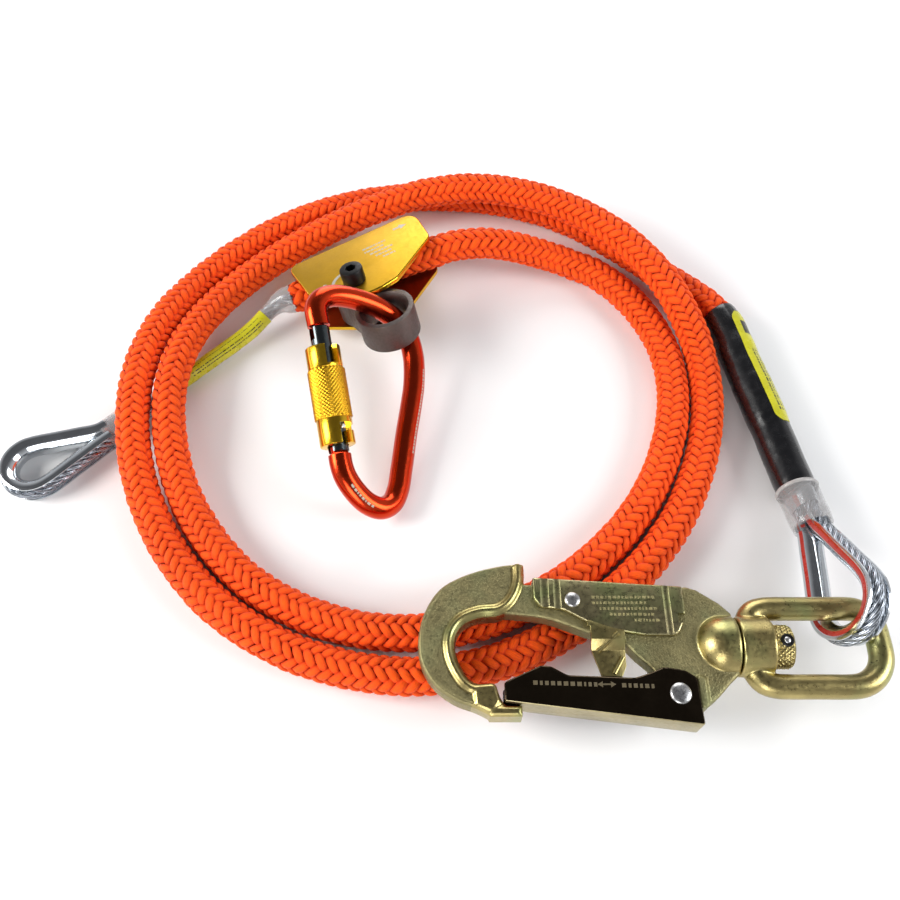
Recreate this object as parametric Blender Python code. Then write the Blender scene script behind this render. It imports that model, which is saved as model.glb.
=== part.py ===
"""Adjustable wire-core lanyard with a mechanical rope grab.

The rope, the grab with its carabiner, the two wire eyes and the swivelling snap hook.
Sizes are in millimetres in one layout, and are turned into metres at the end. +Z is up and
the kit lies on z = 0.
"""

import math

import bmesh
import bpy
import numpy as np
from mathutils import Matrix, Vector

MM = 0.001
Z = Vector((0.0, 0.0, 1.0))
FIT = 0.08  # radial clearance of a pin in its hole
GAP = 0.3  # between pieces that touch

# Middle of the hardware in the layout, which becomes x = y = 0.
LAYOUT_CENTRE = (-17.6, -5.5)

# Rope. The coil is laid by stations: degrees round the coil's centre, radius, height of
# the rope's middle. It rests on the table and rides over itself at the crossings.
ROPE_D = 16.0
ROPE_R = ROPE_D / 2
ROPE_POINT_EVERY = 27.0
COIL_CENTRE = (-12.0, 28.0)
COIL = (
    (21.5, 160.5, 9.9), (30, 152.5, 8.8), (40, 147.5, 8.3), (55, 145, 8.3), (70, 143, 8.3),
    (85, 141, 8.3), (97, 140.5, 8.3), (110, 141, 8.3), (123, 142, 8.3), (137, 143, 8.8),
    (150, 143.5, 11.5), (162, 143.8, 16.2), (174, 144, 19), (186, 144, 18.6), (200, 144.5, 14),
    (215, 145, 9.5), (230, 145.5, 8.3), (245, 145.5, 8.3), (258, 145, 8.3), (270, 144.5, 8.3),
    (284, 142, 8.3), (296, 139.5, 8.3), (307, 138, 8.3), (319, 137.5, 8.3), (332, 138, 8.3),
    (346, 139.5, 8.3), (357, 141.5, 9), (367, 142.5, 12), (377, 141.5, 18), (388, 140, 23.5),
    (400, 139.5, 25), (413, 138.5, 25), (425, 136.5, 25), (437, 133.5, 24.5),
    (449, 129.5, 22.5), (461, 126, 18.5), (474, 124, 13.5), (488, 124, 10), (502, 125.5, 9),
    (515, 126.4, 12), (526, 126.8, 15.8), (536, 127, 17.8), (546, 127, 17), (558, 127.3, 13.5),
    (570, 127.7, 10), (583, 128, 8.5), (595, 128.2, 8.3), (610, 127.5, 8.3), (625, 126, 8.3),
    (640, 123.5, 8.3), (656, 120.8, 8.3), (672, 119.8, 8.3), (688, 120.4, 8.3),
    (704, 122.2, 8.3), (720, 125.2, 8.3), (734, 127, 8.3), (748, 126, 8.3), (761, 122.8, 8.3),
)
ROPE_LEAD_IN = (
    (69.0, 114.6, 8.8), (57.0, 118.4, 10.9), (45.0, 118.9, 15.4), (32.0, 117.6, 21.0),
    (19.0, 115.6, 25.2),
)

# Heat-shrink tube over the rope's end, from the hook's eye back to the coil.
HEAT_ROUTE = ((162.5, -20.0, 10.4), (157.5, 10.0, 10.2), (150.5, 46.0, 10.4), (145.2, 72.0, 10.5))
HEAT_OUTER_R, HEAT_INNER_R = 9.6, 9.0
CLEAR_LENGTH = 21.0
HEAT_LENGTH = 129.0
ROPE_IN_HEAT = 13.0

# Rope grab, in its own frame: u along the shell, v towards its closed back, n up.
GRAB_AT = (-48.8, 80.0, 35.3)
GRAB_YAW, GRAB_PITCH, GRAB_ROLL = 27.4, 5.4, -15.0
SHELL_T = 2.6
SHELL_INSIDE = 19.2
SHELL_FAR_V = 36.0
CHANNEL_MID = -(SHELL_T + SHELL_INSIDE / 2)
SHELL_DEPTH = 2 * SHELL_T + SHELL_INSIDE
ROPE_V_AT_AXLE, ROPE_SLANT = 19.9, math.radians(-10.8)
ROPE_END_U = -30.0
AXLE_R = 3.5
AXLE_HEAD_R, AXLE_HEAD_H = 6.0, 8.0
CAM_T = 16.6
CAM_REACH = 10.9
CAM_BORE_R = 4.62
CAM_EYE = (5.0, -25.5)
CAM_EYE_R, CAM_EYE_BORE = 15.0, 10.6

# Carabiner, in its own frame: x from the narrow end to the wide end, y towards the gate.
BINER_AT = (-32.0, -36.0, 10.0)
BINER_HEADING, BINER_RISE, BINER_TILT = 89.4, 12.4, 36.0
BINER_BAR_R = 5.4
BINER_ROUTE = (
    (90, 40.4), (95.3, 38.2), (99.2, 32.5), (101.4, 24), (101.8, 15), (101, 6), (97.8, -3.5),
    (91.3, -11.2), (80.5, -15.4), (66, -16.3), (54, -15), (38, -12.6), (20, -10.4), (9, -8.7),
    (2, -5.6), (-1.5, 0), (-0.5, 7.5), (4.5, 15), (10.5, 20.2), (16, 22.63),
)
GATE_HINGE_END, GATE_NOSE_END = Vector((20.0, 23.6)), Vector((81.2, 38.34))
GATE_R = 4.8
GATE_PIN_AT, GATE_PIN_R = 3.4, 1.5
SLEEVE_FROM, SLEEVE_TO = 4.2, 52.0
GRIP_FROM, GRIP_TO = 16.6, 41.3
SLEEVE_PIN_AT = 12.0

# Snap hook, in its own frame: x along the swivel, y to its back, z up.
HOOK_AT = (0.0, -109.0, 24.2)
HOOK_T = 13.0
SPINE_T = 9.0
GATE_PIVOT = (91.0, -21.0)
LEVER_PIVOT = (51.0, 18.0)
CHANNEL_T = 1.8
STUD_R = 5.5
COLLAR_FROM, COLLAR_TO, COLLAR_R = 117.7, 131.6, 12.2
BAIL_R, BAIL_HALF_WIDTH, BAIL_TOP = 5.0, 16.5, 177.4
BAIL_CORNERS = (9.5, 15.0)
NUT_R, NUT_L = 9.1, 7.6

# Wire eyes: the wire, and each eye's throat, direction, tilt, length and bight radius.
CABLE_R = 3.3
LEG = 3.6
HOOK_EYE_AT = (166.6, -49.0, 13.5)
HOOK_EYE_AXIS = (0.026, -0.951, 0.309)
HOOK_EYE_TILT = math.radians(66.9)
HOOK_BIGHT, HOOK_BIGHT_R = 43.0, 16.0
TAIL_EYE_AT = (-171.0, 3.5, 6.4)
TAIL_EYE_HEADING = math.radians(210.0)
TAIL_BIGHT, TAIL_BIGHT_R = 35.0, 13.2
TAIL_ROUTE = ((-107.0, 68.5, 7.4), (-129.0, 48.5, 4.9), (-146.0, 31.5, 4.6), (-160.0, 15.5, 5.3))


# ---------------------------------------------------------------- frames and lines


def frame(at, x, y):
    """A frame at a point, with x kept and y made square to it."""
    x = Vector(x).normalized()
    z = x.cross(Vector(y)).normalized()
    m = Matrix((x, z.cross(x), z)).transposed().to_4x4()
    m.translation = Vector(at)
    return m


def turned(at, yaw, pitch, roll):
    """A frame turned by a heading, then with its x axis raised, then rolled about x."""
    m = Matrix.Rotation(math.radians(yaw), 4, "Z")
    m = m @ Matrix.Rotation(math.radians(-pitch), 4, "Y")
    m = m @ Matrix.Rotation(math.radians(roll), 4, "X")
    return Matrix.Translation(Vector(at)) @ m


def shifted(m, x, y, z=0.0):
    return m @ Matrix.Translation((x, y, z))


def direction(m, axis):
    return (m.to_3x3() @ Vector(axis)).normalized()


def smooth(stations, step):
    """Even points, about a step apart, along a centripetal curve through the stations."""
    p = [Vector(s) for s in stations]
    p = [p[0] * 2 - p[1]] + p + [p[-1] * 2 - p[-2]]
    fine = []
    for a, b, c, d in zip(p, p[1:], p[2:], p[3:]):
        t = [0.0]
        for q, r in ((a, b), (b, c), (c, d)):
            t.append(t[-1] + (r - q).length ** 0.5)
        for s in np.linspace(t[1], t[2], 16, endpoint=False):
            a1 = a.lerp(b, (s - t[0]) / (t[1] - t[0]))
            a2 = b.lerp(c, (s - t[1]) / (t[2] - t[1]))
            a3 = c.lerp(d, (s - t[2]) / (t[3] - t[2]))
            b1 = a1.lerp(a2, (s - t[0]) / (t[2] - t[0]))
            b2 = a2.lerp(a3, (s - t[1]) / (t[3] - t[1]))
            fine.append(b1.lerp(b2, (s - t[1]) / (t[2] - t[1])))
    return respaced(fine + [p[-2]], step)


def arc_lengths(points):
    return np.cumsum([0.0] + [(b - a).length for a, b in zip(points, points[1:])])


def respaced(points, step):
    """The same line with its points about a step apart."""
    at = arc_lengths(points)
    return [along(points, s) for s in np.linspace(0, at[-1], max(2, round(at[-1] / step) + 1))]


def along(points, s):
    """The point of a line at a distance from its start."""
    at = arc_lengths(points)
    i = int(np.clip(np.searchsorted(at, s) - 1, 0, len(points) - 2))
    return points[i].lerp(points[i + 1], (s - at[i]) / (at[i + 1] - at[i]))


def stretch(points, start, end, step):
    """The part of a line between two distances from its start."""
    count = max(2, round((end - start) / step) + 1)
    return [along(points, s) for s in np.linspace(start, end, count)]


def across(points, up=None):
    """For each point of a line, two directions across it. With up, one stays square to it."""
    ends = [points[0]] + list(points) + [points[-1]]
    pairs = []
    side = None
    for a, b in zip(ends, ends[2:]):
        t = (b - a).normalized()
        if up is not None:
            side = up.cross(t)
        elif side is None:
            side = t.cross(Z) if abs(t.z) < 0.99 else t.cross(Vector((0, 1, 0)))
        side = (side - t * side.dot(t)).normalized()
        pairs.append((side, t.cross(side).normalized()))
    return pairs


def beside(points, normal, distance):
    """A line kept at a distance to one side of another, in the plane square to the normal."""
    return [p + side * distance for p, (side, _) in zip(points, across(points, normal))]


# ---------------------------------------------------------------- solids


def solid(name, verts, faces):
    """A closed mesh object, facing out."""
    mesh = bpy.data.meshes.new(name)
    mesh.from_pydata([tuple(v) for v in verts], [], faces)
    bm = bmesh.new()
    bm.from_mesh(mesh)
    bmesh.ops.remove_doubles(bm, verts=bm.verts, dist=1e-4)
    bmesh.ops.recalc_face_normals(bm, faces=bm.faces)
    bm.to_mesh(mesh)
    bm.free()
    obj = bpy.data.objects.new(name, mesh)
    bpy.context.scene.collection.objects.link(obj)
    return obj


def ring_faces(rows, n, start=0):
    """Side faces between rows of n points each."""
    faces = []
    for i in range(rows - 1):
        at = start + i * n
        faces += [(at + k, at + (k + 1) % n, at + n + (k + 1) % n, at + n + k) for k in range(n)]
    return faces


def swept(name, points, sections, up=None):
    """A section, or one for each point, carried along a line and capped."""
    if not isinstance(sections[0][0], tuple):
        sections = [sections] * len(points)
    n = len(sections[0])
    verts = []
    for p, (a, b), section in zip(points, across(points, up), sections):
        verts += [p + a * x + b * y for x, y in section]
    last = (len(points) - 1) * n
    caps = [tuple(range(n)), tuple(range(last, last + n))]
    return solid(name, verts, ring_faces(len(points), n) + caps)


def oval(ra, rb, n):
    return [(ra * math.cos(a), rb * math.sin(a)) for a in np.linspace(0, 2 * math.pi, n, endpoint=False)]


def round_curve(name, points, radius, resolution):
    """A round bar as a curve with a bevel; it has 4 + 2 * resolution sides."""
    curve = bpy.data.curves.new(name, "CURVE")
    curve.dimensions = "3D"
    curve.bevel_depth = radius
    curve.bevel_resolution = resolution
    curve.use_fill_caps = True
    spline = curve.splines.new("POLY")
    spline.points.add(len(points) - 1)
    for point, p in zip(spline.points, points):
        point.co = (*p, 1.0)
    obj = bpy.data.objects.new(name, curve)
    bpy.context.scene.collection.objects.link(obj)
    return obj


def bar(name, points, radius, sides=12, up=None):
    return swept(name, points, oval(radius, radius, sides), up)


def pipe(name, points, outer, inner, sides=16, up=None):
    """An open-ended tube. Outer and inner are (across, up) radii, one pair for each point."""
    verts = []
    for radii in (outer, inner):
        for p, (a, b), (ra, rb) in zip(points, across(points, up), radii):
            verts += [p + a * x + b * y for x, y in oval(ra, rb, sides)]
    rows = len(points)
    faces = ring_faces(rows, sides) + ring_faces(rows, sides, rows * sides)
    for row in (0, rows - 1):
        at, to = row * sides, (rows + row) * sides
        for k in range(sides):
            j = (k + 1) % sides
            faces.append((at + k, at + j, to + j, to + k))
    return solid(name, verts, faces)


def patch(name, points, r0, r1, low, high, up, n=6):
    """A thin strip lying on a tube, between two angles round it in degrees."""
    turn = np.radians(np.linspace(low, high, n + 1))
    section = [(r0 * math.cos(a), r0 * math.sin(a)) for a in turn]
    section += [(r1 * math.cos(a), r1 * math.sin(a)) for a in reversed(turn)]
    return swept(name, points, section, up)


def lathe(name, m, profile, n=24):
    """A turned body about a frame's z axis.

    The profile is (radius, z): from axis to axis, or a loop clear of the axis.
    """
    hollow = min(r for r, _ in profile) > 1e-6
    verts, faces = [], []
    for a in np.linspace(0, 2 * math.pi, n, endpoint=False):
        verts += [m @ Vector((r * math.cos(a), r * math.sin(a), z)) for r, z in profile]
    s = len(profile)
    for k in range(n):
        at, to = k * s, ((k + 1) % n) * s
        for i in range(s if hollow else s - 1):
            j = (i + 1) % s
            faces.append((at + i, at + j, to + j, to + i))
    return solid(name, verts, faces)


def drum(m, x, y, r, z0, z1, n=24):
    """A plain cylinder standing on a frame, used to cut or to add."""
    return lathe("drum", shifted(m, x, y), [(0, z0), (r, z0), (r, z1), (0, z1)], n)


def ring(name, m, r0, r1, z0, z1, n=24):
    return lathe(name, m, [(r0, z0), (r1, z0), (r1, z1), (r0, z1)], n)


def polygon(sides, r):
    return oval(r, r, sides)


def rounded(outline, radii, n=3):
    """A polygon with each corner rounded by its radius."""
    out = []
    for i, r in enumerate(radii):
        p, a, b = (Vector(outline[j]) for j in (i, i - 1, (i + 1) % len(outline)))
        if r <= 0:
            out.append(tuple(p))
            continue
        da, db = a - p, b - p
        reach = min(r / math.tan(da.angle(db) / 2), da.length * 0.48, db.length * 0.48)
        s, e = p + da.normalized() * reach, p + db.normalized() * reach
        for t in np.linspace(0, 1, n + 1):
            out.append(tuple(s * (1 - t) ** 2 + p * 2 * t * (1 - t) + e * t * t))
    return out


def inset(outline, d):
    """The outline moved inwards by d at each corner."""
    pairs = list(zip(outline[-1:] + outline[:-1], outline))
    sign = 1 if sum(a[0] * b[1] - b[0] * a[1] for a, b in pairs) > 0 else -1
    out = []
    for i, point in enumerate(outline):
        p, a, b = Vector(point), Vector(outline[i - 1]), Vector(outline[(i + 1) % len(outline)])
        na = Vector((a.y - p.y, p.x - a.x)).normalized() * sign
        nb = Vector((p.y - b.y, b.x - p.x)).normalized() * sign
        middle = (na + nb).normalized()
        out.append(tuple(p + middle * (d / max(middle.dot(na), 0.5))))
    return out


def slab(name, m, outline, z0, z1, edge=0.0):
    """A plate of an outline between two heights, with its edges broken by a chamfer."""
    levels = [(z0, 0.0), (z1, 0.0)]
    if edge:
        levels = [(z0, edge), (z0 + edge, 0.0), (z1 - edge, 0.0), (z1, edge)]
    verts = []
    for z, d in levels:
        verts += [m @ Vector((x, y, z)) for x, y in (inset(outline, d) if d else outline)]
    n = len(outline)
    last = (len(levels) - 1) * n
    caps = [tuple(range(n)), tuple(range(last, last + n))]
    return solid(name, verts, ring_faces(len(levels), n) + caps)


def merged(kind, target, others):
    """Joins or cuts other solids, then drops them."""
    for other in others:
        modifier = target.modifiers.new("join", "BOOLEAN")
        modifier.operation = kind
        modifier.solver = "EXACT"
        modifier.object = other
        graph = bpy.context.evaluated_depsgraph_get()
        done = bpy.data.meshes.new_from_object(target.evaluated_get(graph))
        target.modifiers.clear()
        target.data = done
        bpy.data.objects.remove(other)
    bm = bmesh.new()
    bm.from_mesh(target.data)
    bmesh.ops.remove_doubles(bm, verts=bm.verts, dist=1e-3)
    bmesh.ops.dissolve_degenerate(bm, edges=bm.edges, dist=1e-3)
    bm.to_mesh(target.data)
    bm.free()
    return target


def add(target, *others):
    return merged("UNION", target, others)


def cut(target, *others):
    return merged("DIFFERENCE", target, others)


def coil_spring(name, m, r, wire, height, turns, per_turn=9):
    """A round-wire coil about a frame's z axis, from z = 0."""
    path = []
    for t in np.linspace(0, 1, int(turns * per_turn) + 1):
        a = 2 * math.pi * turns * t
        path.append(m @ Vector((r * math.cos(a), r * math.sin(a), height * t)))
    return bar(name, path, wire / 2, 5)


# ---------------------------------------------------------------- the pieces' frames

GRAB = turned(GRAB_AT, GRAB_YAW, GRAB_PITCH, GRAB_ROLL)
BINER = turned(BINER_AT, BINER_HEADING, BINER_RISE, BINER_TILT)
HOOK = Matrix.Translation(HOOK_AT)
TURN_Z_TO_X = Matrix.Rotation(math.pi / 2, 4, "Y")
ALONG_HOOK = HOOK @ TURN_Z_TO_X

GATE_SPAN = GATE_NOSE_END - GATE_HINGE_END
GATE_LENGTH = GATE_SPAN.length
GATE = frame(
    BINER @ Vector((*GATE_HINGE_END, 0)),
    direction(BINER, (*GATE_SPAN, 0)),
    direction(BINER, (-GATE_SPAN.y, GATE_SPAN.x, 0)),
)
ALONG_GATE = GATE @ TURN_Z_TO_X

HOOK_EYE_FLAT = Vector(HOOK_EYE_AXIS).cross(Z).normalized()
HOOK_EYE_RISE = HOOK_EYE_FLAT.cross(Vector(HOOK_EYE_AXIS)).normalized()
HOOK_EYE = frame(
    HOOK_EYE_AT,
    HOOK_EYE_AXIS,
    HOOK_EYE_RISE * math.sin(HOOK_EYE_TILT) - HOOK_EYE_FLAT * math.cos(HOOK_EYE_TILT),
)
TAIL_HEADING = Vector((math.cos(TAIL_EYE_HEADING), math.sin(TAIL_EYE_HEADING), 0))
TAIL_EYE = frame(TAIL_EYE_AT, TAIL_HEADING, Z.cross(TAIL_HEADING))


def rope_in_grab(u):
    """The rope's middle where it lies straight through the grab."""
    return GRAB @ Vector((u, ROPE_V_AT_AXLE + u * math.tan(ROPE_SLANT), CHANNEL_MID))


# ---------------------------------------------------------------- rope


def main_line():
    """Middle of heat-shrink tube and rope, from the hook's eye to the rope's cut end."""
    laid = []
    for angle, radius, height in COIL:
        a = math.radians(angle)
        x, y = COIL_CENTRE
        laid.append((x + radius * math.cos(a), y + radius * math.sin(a), height))
    grabbed = [rope_in_grab(u) for u in (57, 45, 20, -5, ROPE_END_U)]
    return smooth([HOOK_EYE_AT, *HEAT_ROUTE, *laid, *ROPE_LEAD_IN, *grabbed], 3.0)


def make_rope():
    """Its first span lies inside the heat-shrink tube."""
    line = main_line()
    mouth = HEAT_LENGTH - 1.0
    laid = stretch(line, mouth, arc_lengths(line)[-1], ROPE_POINT_EVERY)
    return round_curve("rope", [along(line, HEAT_LENGTH - ROPE_IN_HEAT)] + laid, ROPE_R, 4)


# ---------------------------------------------------------------- wire eyes


def bight_line(m, centre, radius, count=11):
    """The wire's way round a thimble: off one leg, round the bight and on to the other."""
    first = math.pi - math.atan2(LEG, centre) - math.acos(radius / math.hypot(centre, LEG))
    turn = np.linspace(first, -first, count)
    return [m @ Vector((centre + radius * math.cos(a), radius * math.sin(a), 0)) for a in turn]


def eye_line(m, centre, radius):
    """The whole eye outside its ferrule: down one leg, round the bight and back."""
    bight = bight_line(m, centre, radius)
    throat = [m @ Vector((0, side, 0)) for side in (LEG, -LEG)]
    down = [throat[0].lerp(bight[0], t) for t in (0.05, 0.3, 0.6)]
    back = [throat[1].lerp(bight[-1], t) for t in (0.6, 0.3, 0.05)]
    return [*down, *bight, *back]


def thimble(name, m, wire, metal, reach):
    """The grooved strip under the wire, round the bight and a little way up both legs."""
    groove = CABLE_R + 0.5
    lip = groove + metal
    arc = [(-groove * math.cos(a), groove * math.sin(a)) for a in np.radians((-70, -35, 0, 35, 70))]
    half = [(1.4, groove + 0.5), (1.6, lip + 0.4), (-1.0, lip + 0.3), (-groove - metal, groove * 0.6)]
    section = arc + half + [(x, -y) for x, y in reversed(half)]
    points = [p for p in wire if (m.inverted() @ p).x > reach]
    normal = direction(m, (0, 0, 1))
    middle = len(points) // 2
    away = points[middle] - m.translation
    sign = 1 if away.dot(across(points, normal)[middle][0]) > 0 else -1
    return swept(name, points, [(sign * x, y) for x, y in section], normal)


def side_sign(points, normal, m):
    """Which way a line's side points against an eye's second axis."""
    return 1 if across(points, normal)[-1][0].dot(direction(m, (0, 1, 0))) > 0 else -1


def ferrule(name, points, normal, ra, rb, wire, m):
    """A pressed sleeve on the wire's two legs, with its bores cut through."""
    ends = [0.9] + [1.0] * (len(points) - 2) + [0.9]
    body = swept(name, points, [oval(ra * k, rb * k, 20) for k in ends], normal)
    half = len(wire) // 2
    reach = (points[0] - m.translation).length + 8
    for leg in (wire[:half], wire[half:]):
        bore = [p for p in leg if (p - m.translation).length < reach]
        cut(body, bar("bore", bore, CABLE_R + 0.35, 12, normal))
    return body


def make_hook_eye():
    line = main_line()
    normal = direction(HOOK_EYE, (0, 0, 1))
    root = list(reversed(stretch(line, 0, 52, 5)))
    sign = side_sign(root, normal, HOOK_EYE)
    near = beside(root, normal, sign * LEG)
    far = beside(root, normal, -sign * LEG)
    eye = eye_line(HOOK_EYE, HOOK_BIGHT, HOOK_BIGHT_R)
    wire = smooth([*near[:-1], *eye, *reversed(far[:-1])], 5.0)
    bar("cable_eye_hook", wire, CABLE_R, 10, normal)
    thimble("thimble_hook", HOOK_EYE, wire, 1.5, 11)
    ferrule("ferrule_hook", root[2:-2], normal, 8.4, 5.2, wire, HOOK_EYE)


def make_heat_shrink():
    """The black tube, the clear sleeve at the eye and the label on top."""
    line = main_line()
    clear = stretch(line, 0, CLEAR_LENGTH, 7)
    rows = len(clear)
    pipe("clear_sleeve_hook", clear, [(9.9, 9.9)] * rows, [(9.3, 9.3)] * rows)
    black = stretch(line, CLEAR_LENGTH + 0.5, HEAT_LENGTH, 9)
    rows = len(black)
    pipe("heat_shrink", black, [(HEAT_OUTER_R,) * 2] * rows, [(HEAT_INNER_R,) * 2] * rows)
    label = stretch(line, CLEAR_LENGTH + 12, HEAT_LENGTH - 8, 10)
    patch("label_hook", label, HEAT_OUTER_R + 0.15, HEAT_OUTER_R + 0.4, 100, 168, Z)


def tail_line():
    """Middle of the tail from the rope's cut end to the tail eye."""
    start = [rope_in_grab(ROPE_END_U - 0.6), rope_in_grab(ROPE_END_U - 8)]
    return smooth([*start, *TAIL_ROUTE, TAIL_EYE_AT], 2.5)


def make_tail_eye():
    line = tail_line()
    normal = direction(TAIL_EYE, (0, 0, 1))
    length = arc_lengths(line)[-1]
    root = stretch(line, length - 19, length, 4)
    sign = side_sign(root, normal, TAIL_EYE)
    dead = beside(root, normal, -sign * LEG)
    live = []
    for p, (side, _), s in zip(line, across(line, normal), arc_lengths(line)):
        near_eye = min(max((length - s - 17) / 18, 0), 1)
        live.append(p + side * sign * LEG * (1 - near_eye))
    eye = eye_line(TAIL_EYE, TAIL_BIGHT, TAIL_BIGHT_R)
    wire = smooth([*live[:-1:2], *eye, *reversed(dead[:-1])], 5.0)
    bar("cable_eye_tail", wire, CABLE_R, 10, normal)
    thimble("thimble_tail", TAIL_EYE, wire, 1.4, 9)
    crimp = stretch(line, length - 15, length - 3, 4)
    ferrule("ferrule_tail", crimp, normal, 8.0, 4.6, wire, TAIL_EYE)
    clear = stretch(line, length - 16, length, 5)
    rows = len(clear)
    pipe("clear_sleeve_tail", clear, [(9.0, 5.4)] * rows, [(8.4, 4.9)] * rows, 20, normal)


def make_tail_tube():
    """The thin clear tube on the wire, flared where it meets the rope, and its label."""
    line = tail_line()
    length = arc_lengths(line)[-1]
    tube = stretch(line, 0, length - 38, 6)
    outer, inner = [], []
    for s in arc_lengths(tube):
        t = min(s / 16, 1)
        t = t * t * (3 - 2 * t)
        outer.append((7.6 - 3.4 * t,) * 2)
        inner.append((6.9 - 3.35 * t,) * 2)
    pipe("tail_tube", tube, outer, inner, 12)
    patch("label_tail", stretch(line, 24, 62, 7), 4.7, 4.95, -40, 120, Z)


# ---------------------------------------------------------------- rope grab


def make_shell():
    """A folded channel: two cheeks and the web behind the rope, one piece."""
    corners = [(-26, 36), (49.5, 36), (47.5, 9), (19, -12.5), (10, -14.3), (0, -14.3), (-24, 5)]
    outline = rounded(corners, [5, 8, 6, 6, 4, 9, 6])
    shell = slab("grab_shell", GRAB, outline, -SHELL_DEPTH, 0.0, 0.9)
    back = SHELL_FAR_V - SHELL_T
    channel = [(-60, -60), (90, -60), (90, back), (-60, back)]
    cut(shell, slab("channel", GRAB, channel, -SHELL_T - SHELL_INSIDE, -SHELL_T, 1.2))
    return cut(shell, drum(GRAB, 0, 0, AXLE_R + FIT, -40, 10))


def cam_outline():
    """A toothed face that grows towards the tail, then the neck and the round eye."""
    points = []
    to_rope = 90 + math.degrees(ROPE_SLANT)
    for k in range(-30, 216, 6):
        tooth = 0.85 if 42 <= k <= 140 and (k // 6) % 2 == 0 else 0.0
        r = min(max(CAM_REACH + 0.05 * (k - to_rope) - tooth, 7.2), 12.6)
        points.append((r * math.cos(math.radians(k)), r * math.sin(math.radians(k))))
    x, y = CAM_EYE
    for a in np.radians(np.linspace(152, 388, 25)):
        points.append((x + CAM_EYE_R * math.cos(a), y + CAM_EYE_R * math.sin(a)))
    return points


def make_cam():
    half = CAM_T / 2
    cam = slab("cam", GRAB, cam_outline(), CHANNEL_MID - half, CHANNEL_MID + half, 0.4)
    b = CAM_EYE_BORE
    mouth = [(0, -half - 0.2), (b + 2.9, -half - 0.2), (b + 1.2, -half + 2.4), (b, -half + 6.0)]
    mouth += [(r, -z) for r, z in reversed(mouth)]
    cut(cam, lathe("mouth", shifted(GRAB, *CAM_EYE, CHANNEL_MID), mouth, 28))
    return cut(cam, drum(GRAB, 0, 0, CAM_BORE_R, -40, 10))


def make_axle():
    """Socket-head bolt through both cheeks, with its nut below."""
    low = -SHELL_DEPTH
    r, head, h = AXLE_R, AXLE_HEAD_R, AXLE_HEAD_H
    shank = [(0, low - 4.2), (r - 0.5, low - 4.2), (r, low - 3.7), (r, 0.1)]
    bolt = lathe("axle_bolt", GRAB, shank + [(head, 0.1), (head, h - 0.6), (head - 0.6, h), (0, h)])
    cut(bolt, slab("socket", GRAB, polygon(6, 2.9), h - 4.5, h + 2))
    nut = slab("axle_nut", GRAB, polygon(6, 6.35), low - 3.6, low - 0.1, 0.4)
    return cut(nut, drum(GRAB, 0, 0, r + FIT, -60, 0))


def make_cam_bearing():
    """Bushing and spring in the cam's bore, and a thin washer on each side of the cam."""
    middle = shifted(GRAB, 0, 0, CHANNEL_MID)
    half = CAM_T / 2
    ring("cam_bushing", middle, AXLE_R + 0.06, CAM_BORE_R - 0.07, -half + 0.2, 2.2, 20)
    ring("washer_upper", middle, AXLE_R + 0.1, 7.0, half + 0.25, half + 1.05, 20)
    ring("washer_lower", middle, AXLE_R + 0.1, 7.0, -half - 1.05, -half - 0.25, 20)
    coil_spring("cam_spring", shifted(middle, 0, 0, 2.9), 4.08, 0.7, half - 3.6, 4)


# ---------------------------------------------------------------- carabiner


def make_carabiner():
    """Round bar bent to a pear shape, with the hinge tongue and the nose's lug."""
    route = [GATE_NOSE_END, *BINER_ROUTE, GATE_HINGE_END]
    points = [BINER @ q for q in smooth([(*q, 0.0) for q in route], 4.5)]
    body = bar("carabiner_body", points, BINER_BAR_R, 14, direction(BINER, (0, 0, 1)))
    end = GATE_LENGTH
    nose = [(end - 5.5, -2.2), (end + 1, -2.2), (end + 1, 2.2), (end - 5.5, 2.2)]
    tongue = [(-1, -3.8), (7.0, -3.8), (7.0, 3.8), (-1, 3.8)]
    add(
        body,
        slab("nose", GATE, rounded(nose, [1, 0, 0, 1]), -1.7, 1.7),
        slab("tongue", GATE, rounded(tongue, [0, 3.6, 3.6, 0]), -1.9, 1.9),
    )
    return cut(body, drum(GATE, GATE_PIN_AT, 0, GATE_PIN_R + FIT, -9, 9, 16))


def slot_for(name, x0, x1, half):
    return slab(name, GATE, [(x0, -7), (x1, -7), (x1, 7), (x0, 7)], -half, half)


def make_gate():
    """Round gate, forked at both ends and drilled for the plunger and the guide pin."""
    end = GATE_LENGTH - 0.5
    r = GATE_R
    profile = [(0, 0.9), (r - 0.6, 0.9), (r, 1.5), (r, end - 0.6), (r - 0.6, end), (0, end)]
    gate = lathe("carabiner_gate", ALONG_GATE, profile, 20)
    guide = shifted(GATE, SLEEVE_PIN_AT, 0)
    cut(
        gate,
        slot_for("fork", -3, 7.8, 2.2),
        slot_for("catch", end - 6.6, end + 3, 2.0),
        drum(GATE, GATE_PIN_AT, 0, GATE_PIN_R + FIT, -9, 9, 16),
        lathe("bore", ALONG_GATE, [(0, 6), (2.0, 6), (2.0, 24), (0, 24)], 16),
        drum(guide, 0, 0, 1.3, 2.7, 7, 10),
    )
    pin = shifted(GATE, GATE_PIN_AT, 0)
    lathe("gate_pin", pin, [(0, -4.5), (GATE_PIN_R, -4.5), (GATE_PIN_R, 4.5), (0, 4.5)], 16)
    lathe("gate_plunger", ALONG_GATE, [(0, 8.1), (0.9, 8.1), (1.9, 9.2), (1.9, 14), (0, 14)], 14)
    coil_spring("gate_plunger_spring", shifted(ALONG_GATE, 0, 0, 14.5), 1.45, 0.5, 8.9, 6, 8)
    lathe("sleeve_pin", guide, [(0, 3.1), (1.15, 3.1), (1.15, 7.3), (0.8, 7.7), (0, 7.7)], 12)
    coil_spring("sleeve_spring", shifted(ALONG_GATE, 0, 0, 17.2), 5.55, 0.7, 15.5, 4)


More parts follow.
